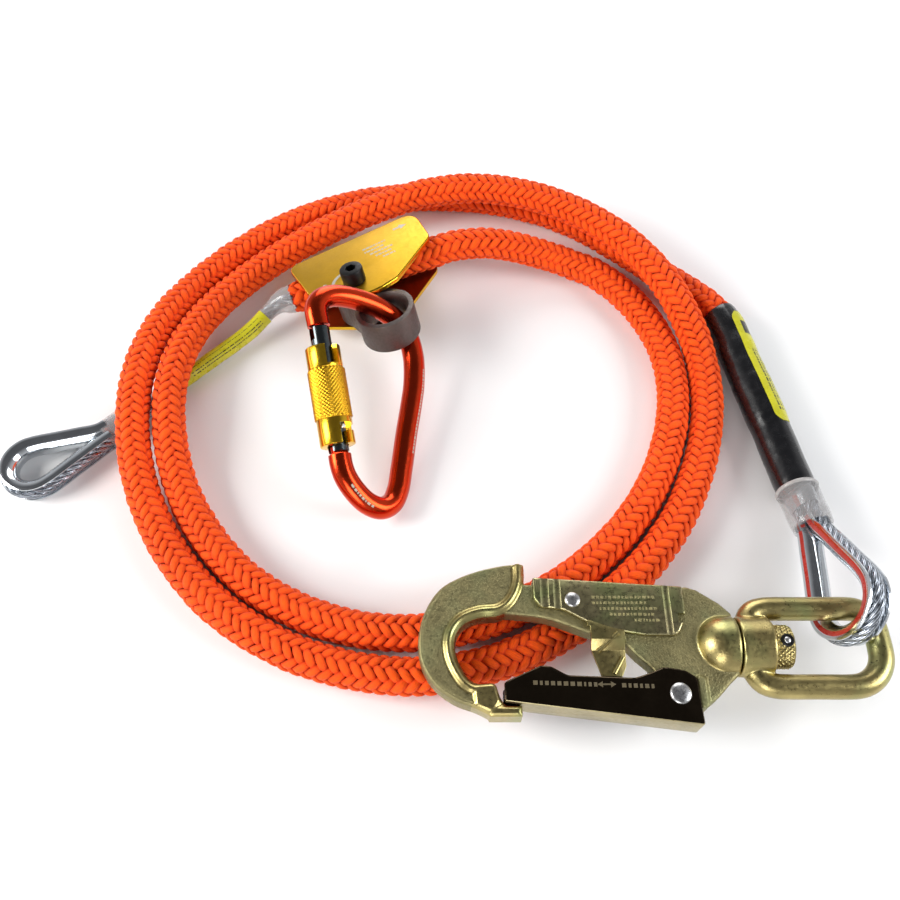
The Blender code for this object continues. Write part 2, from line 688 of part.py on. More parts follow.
def make_sleeve():
    """Locking sleeve: smooth ends, a raised grip band, room for its spring, and two slots."""
    z0, z1 = SLEEVE_FROM, SLEEVE_TO
    g0, g1 = GRIP_FROM, GRIP_TO
    outside = [(5.1, z0), (8.0, z0), (8.3, z0 + 0.4), (8.3, g0 - 0.6), (8.95, g0), (8.95, g1)]
    outside += [(8.3, g1 + 0.6), (8.3, z1 - 0.4), (7.9, z1), (5.1, z1)]
    spring_room = [(5.1, 36), (6.3, 34.6), (6.3, 15.6), (5.1, 14.4)]
    sleeve = lathe("lock_sleeve", ALONG_GATE, outside + spring_room, 28)
    turned_over = ALONG_GATE @ Matrix.Rotation(math.pi, 4, "Z")
    for a0, a1, low, high in ((-14, 84, 10.2, 13.8), (-14, 14, 2, 10.4), (-22, 22, g1 + 1.2, z1 + 2)):
        turn = np.radians(np.linspace(a0, a1, 7))
        sector = [(4.0 * math.cos(a), 4.0 * math.sin(a)) for a in turn]
        sector += [(11.0 * math.cos(a), 11.0 * math.sin(a)) for a in reversed(turn)]
        cut(sleeve, slab("slot", turned_over, sector, low, high))
    return sleeve


# ---------------------------------------------------------------- snap hook


def make_hook_body():
    """Forged claw, thinner spine, gate lug and the dome round the swivel's bore."""
    claw = [
        (31.5, 35), (26, 35), (5, 29.5), (-4, 24), (-10, 15), (-13, 3.5), (-12.2, -7), (-7, -16.5),
        (1.5, -23), (10.5, -26), (15.5, -29.5), (28.5, -29.5), (28.5, -25.2), (21, -25.2),
        (17.4, -17), (9, -15.5), (4.4, -9.5), (2.2, -3), (2.4, 3), (5.5, 8), (12, 11), (20.5, 12),
        (26, 15.5), (30.5, 22),
    ]
    body = slab("hook_body", HOOK, claw, -HOOK_T / 2, HOOK_T / 2, 1.6)
    spine = [
        (20, 13.5), (39, 11), (47, 8.5), (56, 5), (70, 1), (76, -5), (82, -11), (85, -17),
        (87, -25.5), (93, -28.3), (99, -27), (106, -22.5), (114, -15.0), (117.1, -12.3),
        (117.1, 13), (113, 17.4), (104, 23.5), (100, 25), (98.8, 17.4), (51, 23.8), (24, 24.5),
    ]
    add(body, slab("spine", HOOK, spine, -SPINE_T / 2, SPINE_T / 2, 0.8))
    round_end = [(12.5 * math.sin(a), 112 - 11.6 * math.cos(a)) for a in np.radians((18, 36, 54, 72, 90))]
    dome = [(0, 100.4), *round_end, (12.5, 116.4), (11.9, 117.1), (0, 117.1)]
    add(body, lathe("dome", ALONG_HOOK, dome))
    bore = STUD_R + FIT + 0.05
    cut(body, lathe("bore", ALONG_HOOK, [(0, 103.8), (bore, 103.8), (bore, 125), (0, 125)]))
    for pivot, r, pocket in ((GATE_PIVOT, 2.5, 6.2), (LEVER_PIVOT, 2.0, 4.4)):
        cut(body, drum(HOOK, *pivot, r + FIT, -20, 20, 20), drum(HOOK, *pivot, pocket, 1.0, 20, 20))
    return body


def rivet(name, pivot, r, head, grip):
    """A rivet with a low round head each side of two cheeks."""
    side = [(head, grip + 0.1), (head - 0.2, grip + 0.8), (head * 0.7, grip + 1.5), (0, grip + 1.5)]
    profile = [(x, -z) for x, z in reversed(side)] + [(r, -grip - 0.1), (r, grip + 0.1)] + side
    lathe(name, shifted(HOOK, *pivot), profile, 20)


def channel_of(name, cheek, hollow, outer, pivot, r):
    """A folded channel seen from its side: the cheeks' outline, less what is between them."""
    piece = slab(name, HOOK, cheek, -outer, outer, 0.7)
    inner = outer - CHANNEL_T
    cut(piece, slab("hollow", HOOK, hollow, -inner, inner, 0.7))
    return cut(piece, drum(HOOK, *pivot, r + FIT, -20, 20, 20))


def make_hook_gate():
    """Two cheeks on the pivot, and the web that closes the throat."""
    cheek = [
        (21.6, -16.5), (25.5, -14.6), (36.5, -9.6), (40.5, -10), (47, -13.6), (74, -14.6),
        (80, -12.6), (86, -10.2), (94, -11.6), (98.5, -14.5), (99.2, -33.2), (21.6, -23.9),
    ]
    hollow = [(5, -22.4), (120, -33.7), (120, 40), (5, 40)]
    channel_of("hook_gate", cheek, hollow, 6.9, GATE_PIVOT, 2.5)
    rivet("gate_rivet", GATE_PIVOT, 2.5, 4.3, 6.9)
    coil_spring("gate_spring", shifted(HOOK, *GATE_PIVOT, 1.75), 3.6, 1.0, 2.5, 2, 10)


def make_lever():
    """The pressed cover over the spine, with the tab that stands in the gate's way."""
    cover = [
        (34.8, 28.2), (97.6, 24.2), (97.6, 13), (97.0, 9.5), (93.5, 3), (80, 3), (67, 5.2),
        (56, 9), (47, 14), (37.5, 15.2), (34.8, 19),
    ]
    hollow = [(20, 27.6), (120, 21.3), (120, -20), (20, -20)]
    lever = channel_of("lock_lever", cover, hollow, 6.7, LEVER_PIVOT, 2.0)
    cut(lever, slab("notch", HOOK, [(94.2, 12.2), (100, 12.2), (100, 8.2), (94.2, 8.2)], 0, 20))
    fold = [
        (9.5, 5.1), (0.8, 5.1), (-3.2, 1.6), (-13.2, 1.6), (-13.2, 3.2), (-2.6, 3.2), (1.4, 6.7),
        (9.5, 6.7),
    ]
    tab = slab("tab", HOOK @ frame((0, 0, 0), (0, 1, 0), (0, 0, 1)), fold, 56.5, 71.5)
    trims = (
        [(55, -14), (61.5, -14), (57.6, -2), (57.6, 7), (50, 7), (50, -14)],
        [(66.5, -20), (72.5, -20), (72.5, -6.5)],
    )
    cut(tab, *(slab("trim", HOOK, outline, -20, 20) for outline in trims))
    add(lever, tab)
    rivet("lever_rivet", LEVER_PIVOT, 2.0, 3.3, 6.7)
    coil_spring("lever_spring", shifted(HOOK, *LEVER_PIVOT, 1.6), 2.9, 0.8, 2.4, 2, 10)


def make_swivel():
    """Stud, bail with its collar, nut and pin."""
    r = STUD_R
    z0, z1, c = COLLAR_FROM, COLLAR_TO, COLLAR_R
    end = z1 + NUT_L + 1.5
    stud = [(0, 104.1), (r, 104.1), (r, end - 0.7), (r - 0.6, end), (0, end)]
    lathe("swivel_stud", ALONG_HOOK, stud)
    half = BAIL_HALF_WIDTH
    root = [(z1 - 7.5, 7.5), (z1 - 7.1, 11), (z1 - 4.6, 14.6), (z1, 16.2), (z1 + 5.5, half), (148, half)]
    sides = []
    for corner in BAIL_CORNERS:
        turn = np.linspace(0, math.pi / 2, 4)
        bend = [(corner * math.sin(a), corner * math.cos(a)) for a in turn]
        sides.append(root + [(BAIL_TOP - corner + x, half - corner + y) for x, y in bend])
    line = sides[0] + [(x, -y) for x, y in reversed(sides[1])]
    points = [HOOK @ q for q in smooth([(*q, 0.0) for q in line], 4.5)]
    bail = bar("swivel_bail", points, BAIL_R, 12, Z)
    collar = [(0, z0), (c - 0.6, z0), (c, z0 + 0.6), (c, z1 - 0.8), (c - 0.8, z1), (0, z1)]
    add(bail, lathe("collar", ALONG_HOOK, collar))
    wide = NUT_R + 0.3
    room = [(0, 110), (r + FIT, 110), (r + FIT, z1 + 2), (wide, z1 + 2), (wide, end + 3), (0, end + 3)]
    cut(bail, lathe("room", ALONG_HOOK, room))
    n0, n1 = z1 + 0.5, z1 + 0.5 + NUT_L
    rim = [(r + 0.1, n0), (NUT_R - 0.5, n0), (NUT_R, n0 + 0.5), (NUT_R, n1 - 0.5)]
    nut = lathe("swivel_nut", ALONG_HOOK, rim + [(NUT_R - 0.5, n1), (r + 0.1, n1)])
    middle = (n0 + n1) / 2 + 0.6
    for piece in (nut, bpy.data.objects["swivel_stud"]):
        cut(piece, drum(HOOK, middle, 0, 1.6, -20, 20, 14))
    pin = shifted(HOOK, middle, 0)
    lathe("nut_pin", pin, [(0, -8.9), (1.5, -8.9), (1.5, 8.9), (0, 8.9)], 14)


# ---------------------------------------------------------------- looks, joints and placing

FINISHES = {
    "braid": ((0.80, 0.10, 0.02), 0.85, 0.0),
    "black_tube": ((0.012, 0.012, 0.013), 0.3, 0.0),
    "clear_tube": ((0.45, 0.46, 0.44), 0.25, 0.0),
    "label": ((0.72, 0.78, 0.10), 0.6, 0.0),
    "bright_zinc": ((0.62, 0.62, 0.60), 0.3, 1.0),
    "yellow_zinc": ((0.56, 0.46, 0.20), 0.35, 1.0),
    "dark_zinc": ((0.16, 0.13, 0.08), 0.3, 1.0),
    "gold_anodised": ((0.60, 0.42, 0.12), 0.4, 1.0),
    "red_anodised": ((0.72, 0.06, 0.02), 0.25, 1.0),
    "grey_anodised": ((0.10, 0.10, 0.11), 0.35, 1.0),
    "cam_grey": ((0.28, 0.25, 0.22), 0.5, 1.0),
    "black_steel": ((0.03, 0.03, 0.03), 0.4, 1.0),
    "bronze": ((0.45, 0.28, 0.12), 0.4, 1.0),
    "spring_steel": ((0.40, 0.40, 0.42), 0.3, 1.0),
}

RING_MIDDLE = shifted(GRAB, *CAM_EYE, CHANNEL_MID)

# Body: where its joint is, the body it moves on, and each node's finish.
BODIES = {
    "lanyard": (
        Matrix(),
        None,
        {
            "rope": "braid", "heat_shrink": "black_tube", "label_hook": "label",
            "ferrule_hook": "bright_zinc", "clear_sleeve_hook": "clear_tube",
            "cable_eye_hook": "bright_zinc", "thimble_hook": "bright_zinc",
            "tail_tube": "clear_tube", "label_tail": "label", "ferrule_tail": "bright_zinc",
            "clear_sleeve_tail": "clear_tube", "cable_eye_tail": "bright_zinc",
            "thimble_tail": "bright_zinc",
        },
    ),
    "grab": (
        frame(rope_in_grab(0), rope_in_grab(1) - rope_in_grab(0), direction(GRAB, (0, 0, 1))),
        "lanyard",
        {
            "grab_shell": "gold_anodised", "axle_bolt": "black_steel", "axle_nut": "black_steel",
            "washer_upper": "spring_steel", "washer_lower": "spring_steel",
            "cam_spring": "spring_steel",
        },
    ),
    "cam_lever": (GRAB, "grab", {"cam": "cam_grey", "cam_bushing": "bronze"}),
    "carabiner": (
        RING_MIDDLE, "cam_lever", {"carabiner_body": "red_anodised", "gate_pin": "spring_steel"}
    ),
    "biner_gate": (
        shifted(GATE, GATE_PIN_AT, 0),
        "carabiner",
        {
            "carabiner_gate": "grey_anodised", "gate_plunger": "spring_steel",
            "gate_plunger_spring": "spring_steel", "sleeve_pin": "spring_steel",
            "sleeve_spring": "spring_steel",
        },
    ),
    "biner_sleeve": (ALONG_GATE, "biner_gate", {"lock_sleeve": "gold_anodised"}),
    "bail": (shifted(HOOK, BAIL_TOP, 0), "lanyard", {"swivel_bail": "yellow_zinc"}),
    "hook": (
        ALONG_HOOK,
        "bail",
        {
            "hook_body": "yellow_zinc", "gate_rivet": "bright_zinc", "lever_rivet": "bright_zinc",
            "swivel_stud": "yellow_zinc", "swivel_nut": "yellow_zinc", "nut_pin": "spring_steel",
            "gate_spring": "spring_steel", "lever_spring": "spring_steel",
        },
    ),
    "gate": (shifted(HOOK, *GATE_PIVOT), "hook", {"hook_gate": "dark_zinc"}),
    "lever": (shifted(HOOK, *LEVER_PIVOT), "hook", {"lock_lever": "yellow_zinc"}),
}


def finished(obj, finish):
    """Gives a piece a material of its own."""
    colour, roughness, metallic = FINISHES[finish]
    material = bpy.data.materials.new(obj.name)
    material.use_nodes = True
    shader = material.node_tree.nodes["Principled BSDF"]
    shader.inputs["Base Color"].default_value = (*colour, 1.0)
    shader.inputs["Roughness"].default_value = roughness
    shader.inputs["Metallic"].default_value = metallic
    obj.data.materials.clear()
    obj.data.materials.append(material)


def place():
    """Turns the layout into metres, and hangs each body's pieces on an empty at its joint."""
    to_metres = Matrix.Scale(MM, 4) @ Matrix.Translation((-LAYOUT_CENTRE[0], -LAYOUT_CENTRE[1], 0.0))
    for body, (joint, parent, finishes) in BODIES.items():
        pivot = bpy.data.objects.new(body, None)
        bpy.context.scene.collection.objects.link(pivot)
        there = joint.to_3x3().to_4x4()
        there.translation = to_metres @ joint.translation
        pivot.empty_display_size = 0.02
        if parent:
            pivot.parent = bpy.data.objects[parent]
            pivot.matrix_parent_inverse = PLACED[parent].inverted()
        pivot.matrix_basis = there
        PLACED[body] = there
        for name, finish in finishes.items():
            piece = bpy.data.objects[name]
            finished(piece, finish)
            piece.data.transform(there.inverted() @ to_metres)
            if piece.type == "MESH":
                piece.data.shade_smooth()
                piece.data.set_sharp_from_angle(angle=math.radians(35))
            piece.parent = pivot


PLACED = {}


def clear_scene():
    for obj in list(bpy.data.objects):
        bpy.data.objects.remove(obj)


clear_scene()
for make in (
    make_rope, make_hook_eye, make_heat_shrink, make_tail_eye, make_tail_tube, make_shell, make_cam,
    make_axle, make_cam_bearing, make_carabiner, make_gate, make_sleeve, make_hook_body,
    make_hook_gate, make_lever, make_swivel,
):
    make()
place()
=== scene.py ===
"""Looks of the adjustable lanyard with its rope grab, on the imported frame.

Sizes are in the layout's millimetres, as in the part's source, and become metres when a piece is placed.
"""

import math

import bmesh
import bpy
import numpy as np
from mathutils import Matrix, Vector


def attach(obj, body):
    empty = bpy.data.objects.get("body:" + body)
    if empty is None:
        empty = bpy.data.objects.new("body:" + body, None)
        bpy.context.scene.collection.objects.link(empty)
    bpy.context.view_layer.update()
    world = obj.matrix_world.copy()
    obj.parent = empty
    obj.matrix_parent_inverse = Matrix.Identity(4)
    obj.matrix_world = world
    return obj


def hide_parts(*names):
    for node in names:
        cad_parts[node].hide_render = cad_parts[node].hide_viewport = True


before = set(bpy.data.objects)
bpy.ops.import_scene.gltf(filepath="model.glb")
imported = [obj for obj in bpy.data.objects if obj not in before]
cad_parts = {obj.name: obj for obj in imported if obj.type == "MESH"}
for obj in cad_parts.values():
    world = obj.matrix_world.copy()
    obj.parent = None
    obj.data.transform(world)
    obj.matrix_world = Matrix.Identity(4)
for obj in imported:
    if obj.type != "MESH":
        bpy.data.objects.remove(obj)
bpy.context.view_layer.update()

ORIGIN = Vector((-17.6, -5.5, 0.0))
TO_ROW = Matrix.Scale(0.001, 4) @ Matrix.Translation(-ORIGIN)
Z = Vector((0.0, 0.0, 1.0))

# ---------------------------------------------------------------- lines and frames


def array(points):
    return np.array([tuple(p) for p in points], float)


def arc_lengths(points):
    return np.concatenate([[0.0], np.cumsum(np.linalg.norm(np.diff(points, axis=0), axis=1))])


def at_lengths(points, s):
    """Points of a line at distances from its start."""
    at = arc_lengths(points)
    return np.stack([np.interp(s, at, points[:, i]) for i in range(points.shape[1])], axis=1)


def respaced(points, step):
    total = arc_lengths(points)[-1]
    return at_lengths(points, np.linspace(0, total, max(2, round(total / step) + 1)))


def stretch(points, start, end, step):
    """The part of a line between two distances from its start."""
    return at_lengths(points, np.linspace(start, end, max(2, round((end - start) / step) + 1)))


def smooth(stations, step):
    """Even points along a centripetal curve through the stations."""
    p = array(stations)
    p = np.vstack([2 * p[0] - p[1], p, 2 * p[-1] - p[-2]])
    fine = []
    for a, b, c, d in zip(p, p[1:], p[2:], p[3:]):
        gaps = [np.linalg.norm(r - q) ** 0.5 for q, r in ((a, b), (b, c), (c, d))]
        t = np.concatenate([[0.0], np.cumsum(gaps)])
        s = np.linspace(t[1], t[2], 24, endpoint=False)[:, None]
        a1 = a + (b - a) * (s - t[0]) / (t[1] - t[0])
        a2 = b + (c - b) * (s - t[1]) / (t[2] - t[1])
        a3 = c + (d - c) * (s - t[2]) / (t[3] - t[2])
        b1 = a1 + (a2 - a1) * (s - t[0]) / (t[2] - t[0])
        b2 = a2 + (a3 - a2) * (s - t[1]) / (t[3] - t[1])
        fine.append(b1 + (b2 - b1) * (s - t[1]) / (t[2] - t[1]))
    return respaced(np.vstack([*fine, p[-2:-1]]), step)


def unit(v):
    return v / np.linalg.norm(v, axis=-1, keepdims=True)


def across(points, up=None):
    """Directions along a line and two square to it. With up, the last one stays near it."""
    t = unit(np.gradient(points, axis=0))
    side = np.empty_like(t)
    if up is not None:
        side[:] = unit(np.cross(np.array(up, float), t))
    else:
        s = np.cross(t[0], (0, 0, 1)) if abs(t[0][2]) < 0.95 else np.cross(t[0], (0, 1, 0))
        for i, ti in enumerate(t):
            s = s - ti * s.dot(ti)
            s = s / np.linalg.norm(s)
            side[i] = s
    return t, side, np.cross(t, side)


def beside(points, normal, distance):
    return points + across(points, normal)[1] * distance


def frame(at, x, y):
    """A frame at a point, with x kept and y made square to it."""
    x = Vector(x).normalized()
    z = x.cross(Vector(y)).normalized()
    m = Matrix((x, z.cross(x), z)).transposed().to_4x4()
    m.translation = Vector(at)
    return m


def turned(at, yaw, pitch, roll):
    m = Matrix.Rotation(math.radians(yaw), 4, "Z")
    m = m @ Matrix.Rotation(math.radians(-pitch), 4, "Y")
    return Matrix.Translation(Vector(at)) @ m @ Matrix.Rotation(math.radians(roll), 4, "X")


def shifted(m, x, y, z=0.0):
    return m @ Matrix.Translation((x, y, z))


def direction(m, axis):
    return (m.to_3x3() @ Vector(axis)).normalized()


def moved(m, points):
    return array([m @ Vector(tuple(p) + (0.0,) * (3 - len(p))) for p in points])


# ---------------------------------------------------------------- solids, in layout millimetres


def linked(name, data):
    obj = bpy.data.objects.new(name, data)
    bpy.context.scene.collection.objects.link(obj)
    return obj


def solid(name, verts, faces, clean=True):
    mesh = bpy.data.meshes.new(name)
    mesh.from_pydata(np.asarray(verts, float).tolist(), [], faces)
    if clean:
        bm = bmesh.new()
        bm.from_mesh(mesh)
        bmesh.ops.remove_doubles(bm, verts=bm.verts, dist=1e-4)
        bmesh.ops.recalc_face_normals(bm, faces=bm.faces)
        bm.to_mesh(mesh)
        bm.free()
    return linked(name, mesh)


def grid_faces(rows, n, start=0, closed=True):
    """Quads between rows of n points each."""
    i, k = np.meshgrid(np.arange(rows - 1), np.arange(n if closed else n - 1), indexing="ij")
    at, j = start + i * n, (k + 1) % n
    return np.stack([at + k, at + j, at + n + j, at + n + k], -1).reshape(-1, 4).tolist()


def swept(name, points, sections, up=None, caps=True):
    """A closed section, or one for each point, carried along a line."""
    _, a, b = across(points, up)
    sec = np.asarray(sections, float)
    if sec.ndim == 2:
        sec = np.repeat(sec[None], len(points), 0)
    verts = points[:, None] + a[:, None] * sec[:, :, :1] + b[:, None] * sec[:, :, 1:]
    n = sec.shape[1]
    faces = grid_faces(len(points), n)
    if caps:
        last = (len(points) - 1) * n
        faces += [tuple(range(n)), tuple(range(last, last + n))]
    return solid(name, verts.reshape(-1, 3), faces)


def oval(ra, rb, n, start=0.0):
    a = start + np.linspace(0, 2 * math.pi, n, endpoint=False)
    return np.stack([ra * np.cos(a), rb * np.sin(a)], 1)


def bar(name, points, radius, sides=32, up=None):
    radii = np.broadcast_to(np.asarray(radius, float), (len(points),))
    return swept(name, points, oval(1, 1, sides)[None] * radii[:, None, None], up)


def pipe(name, points, outer, inner, sides=40, up=None):
    """An open-ended tube. Outer and inner are arrays of (across, up) radii for each point."""
    _, a, b = across(points, up)
    rows = len(points)
    round_ = oval(1, 1, sides)
    verts = []
    for radii in (outer, inner):
        radii = np.broadcast_to(np.asarray(radii, float), (rows, 2))
        ring = round_[None] * radii[:, None, :]
        tube = points[:, None] + a[:, None] * ring[:, :, :1] + b[:, None] * ring[:, :, 1:]
        verts.append(tube.reshape(-1, 3))
    faces = grid_faces(rows, sides) + grid_faces(rows, sides, rows * sides)
    for row in (0, rows - 1):
        at, to = row * sides, (rows + row) * sides
        faces += [(at + k, at + (k + 1) % sides, to + (k + 1) % sides, to + k) for k in range(sides)]
    return solid(name, np.vstack(verts), faces)


def patch(name, points, r0, r1, low, high, up, n=12):
    """A thin strip on a tube, between two angles round it in degrees. Its radii may vary along it."""
    rows = len(points)
    low, high = (np.broadcast_to(np.asarray(v, float), (rows,)) for v in (low, high))
    share = np.linspace(0, 1, n + 1)
    turn = np.radians(low[:, None] + (high - low)[:, None] * share)
    r0, r1 = (np.broadcast_to(np.asarray(v, float), (rows,))[:, None] for v in (r0, r1))
    under = np.stack([r0 * np.cos(turn), r0 * np.sin(turn)], -1)
    over = np.stack([r1 * np.cos(turn), r1 * np.sin(turn)], -1)[:, ::-1]
    return swept(name, points, np.concatenate([under, over], 1), up)


def lathe(name, m, profile, n=64):
    """A turned body about a frame's z axis, from a profile of (radius, z) or a loop clear of the axis."""
    hollow = min(r for r, _ in profile) > 1e-6
    verts, faces = [], []
    for a in np.linspace(0, 2 * math.pi, n, endpoint=False):
        verts += [m @ Vector((r * math.cos(a), r * math.sin(a), z)) for r, z in profile]
    s = len(profile)
    for k in range(n):
        at, to = k * s, ((k + 1) % n) * s
        for i in range(s if hollow else s - 1):
            j = (i + 1) % s
            faces.append((at + i, at + j, to + j, to + i))
    return solid(name, verts, faces)


def drum(m, x, y, r, z0, z1, n=48):
    return lathe("drum", shifted(m, x, y), [(0, z0), (r, z0), (r, z1), (0, z1)], n)


def rect(x0, x1, y0, y1):
    return [(x0, y0), (x1, y0), (x1, y1), (x0, y1)]


def dashes(rng, start, end, least, most, gap):
    """Starts and widths of a row of uneven dashes, drawn one at a time."""
    while start < end:
        wide = rng.uniform(least, most)
        yield start, wide
        start += wide + gap


def rounded(outline, radii, n=8):
    """A polygon with each corner rounded by its radius."""
    out = []
    for i, r in enumerate(radii):
        p, a, b = (Vector(outline[j]) for j in (i, i - 1, (i + 1) % len(outline)))
        if r <= 0:
            out.append(tuple(p))
            continue
        da, db = a - p, b - p
        reach = min(r / math.tan(da.angle(db) / 2), da.length * 0.48, db.length * 0.48)
        s, e = p + da.normalized() * reach, p + db.normalized() * reach
        for t in np.linspace(0, 1, n + 1):
            out.append(tuple(s * (1 - t) ** 2 + p * 2 * t * (1 - t) + e * t * t))
    return out


def inset(outline, d):
    pairs = list(zip(outline[-1:] + outline[:-1], outline))
    sign = 1 if sum(a[0] * b[1] - b[0] * a[1] for a, b in pairs) > 0 else -1
    out = []
    for i, point in enumerate(outline):
        p, a, b = Vector(point), Vector(outline[i - 1]), Vector(outline[(i + 1) % len(outline)])
        na = Vector((a.y - p.y, p.x - a.x)).normalized() * sign
        nb = Vector((p.y - b.y, b.x - p.x)).normalized() * sign
        middle = (na + nb).normalized()
        out.append(tuple(p + middle * (d / max(middle.dot(na), 0.5))))
    return out


def slab(name, m, outline, z0, z1, edge=0.0, steps=1):
    """A plate of an outline between two heights, with its edges chamfered, or rounded in steps."""
    outline = [tuple(p) for p in outline]
    levels = [(z0, 0.0), (z1, 0.0)]
    if edge:
        turn = np.linspace(0, math.pi / 2, steps + 1)
        low = [(z0 + edge * (1 - math.cos(a)), edge * (1 - math.sin(a))) for a in turn]
        levels = low + [(z0 + z1 - z, d) for z, d in reversed(low)]
    verts = []
    for z, d in levels:
        verts += [m @ Vector((x, y, z)) for x, y in (inset(outline, d) if d > 1e-6 else outline)]
    n = len(outline)
    last = (len(levels) - 1) * n
    return solid(name, verts, grid_faces(len(levels), n) + [tuple(range(n)), tuple(range(last, last + n))])


def evaluated(obj):
    graph = bpy.context.evaluated_depsgraph_get()
    done = bpy.data.meshes.new_from_object(obj.evaluated_get(graph))
    obj.modifiers.clear()
    obj.data = done
    return obj


def cut(target, *others, solver="EXACT"):
    """Takes the other solids away from the first, and removes them."""
    for other in others:
        modifier = target.modifiers.new("cut", "BOOLEAN")
        modifier.operation = "DIFFERENCE"
        modifier.solver = solver
        modifier.object = other
        evaluated(target)
        bpy.data.objects.remove(other)
    return target


def joined(name, objects):
    """Several meshes kept as one object."""
    bm = bmesh.new()
    for obj in objects:
        bm.from_mesh(obj.data)
        bpy.data.objects.remove(obj)
    mesh = bpy.data.meshes.new(name)
    bm.to_mesh(mesh)
    bm.free()
    return linked(name, mesh)


def forged(name, objects, voxel, passes):
    """Overlapping solids made one body with soft edges and fillets."""
    obj = joined(name, objects)
    remesh = obj.modifiers.new("remesh", "REMESH")
    remesh.mode = "VOXEL"
    remesh.voxel_size = voxel
    soften = obj.modifiers.new("soften", "SMOOTH")
    soften.factor = 0.5
    soften.iterations = passes
    return evaluated(obj)


def bevelled(obj, width, segments=3, angle=28):
    bm = bmesh.new()
    bm.from_mesh(obj.data)
    bmesh.ops.remove_doubles(bm, verts=bm.verts, dist=2e-3)
    bmesh.ops.dissolve_limit(bm, angle_limit=math.radians(1.5), verts=bm.verts, edges=bm.edges)
    bm.to_mesh(obj.data)
    bm.free()
    modifier = obj.modifiers.new("bevel", "BEVEL")
    modifier.width = width
    modifier.segments = segments
    modifier.limit_method = "ANGLE"
    modifier.angle_limit = math.radians(angle)
    return evaluated(obj)


def coil_spring(name, m, r, wire, height, turns, per_turn=24):
    t = np.linspace(0, 1, int(turns * per_turn) + 1)
    a = 2 * math.pi * turns * t
    return bar(name, moved(m, np.stack([r * np.cos(a), r * np.sin(a), height * t], 1)), wire / 2, 10)


def knurled(m, r, z0, z1, count, depth):
    """A band cut with crossed grooves, as a closed ring."""
    columns = count * 5
    rise = 2 * math.pi * r / count
    rows = round((z1 - z0) / rise * 5)
    z = np.linspace(z0, z1, rows + 1)[:, None]
    a = np.linspace(0, 2 * math.pi, columns, endpoint=False)[None]
    u, v = a * count / (2 * math.pi), (z - z0) / rise
    diamond = np.abs(np.sin(math.pi * (u + v))) * np.abs(np.sin(math.pi * (u - v)))
    edge = np.clip(np.minimum(z - z0, z1 - z) / (rise * 0.4), 0, 1)
    radius = r - depth + depth * diamond ** 0.6 * edge
    inner = np.full_like(radius[:1], r - 2.2)
    radius = np.vstack([inner, radius, inner])
    z = np.vstack([z[:1], z, z[-1:]]) + 0 * a
    verts = moved(m, np.stack([radius * np.cos(a), radius * np.sin(a), z], -1).reshape(-1, 3))
    return solid("knurl", verts, grid_faces(rows + 3, columns))


# ---------------------------------------------------------------- materials


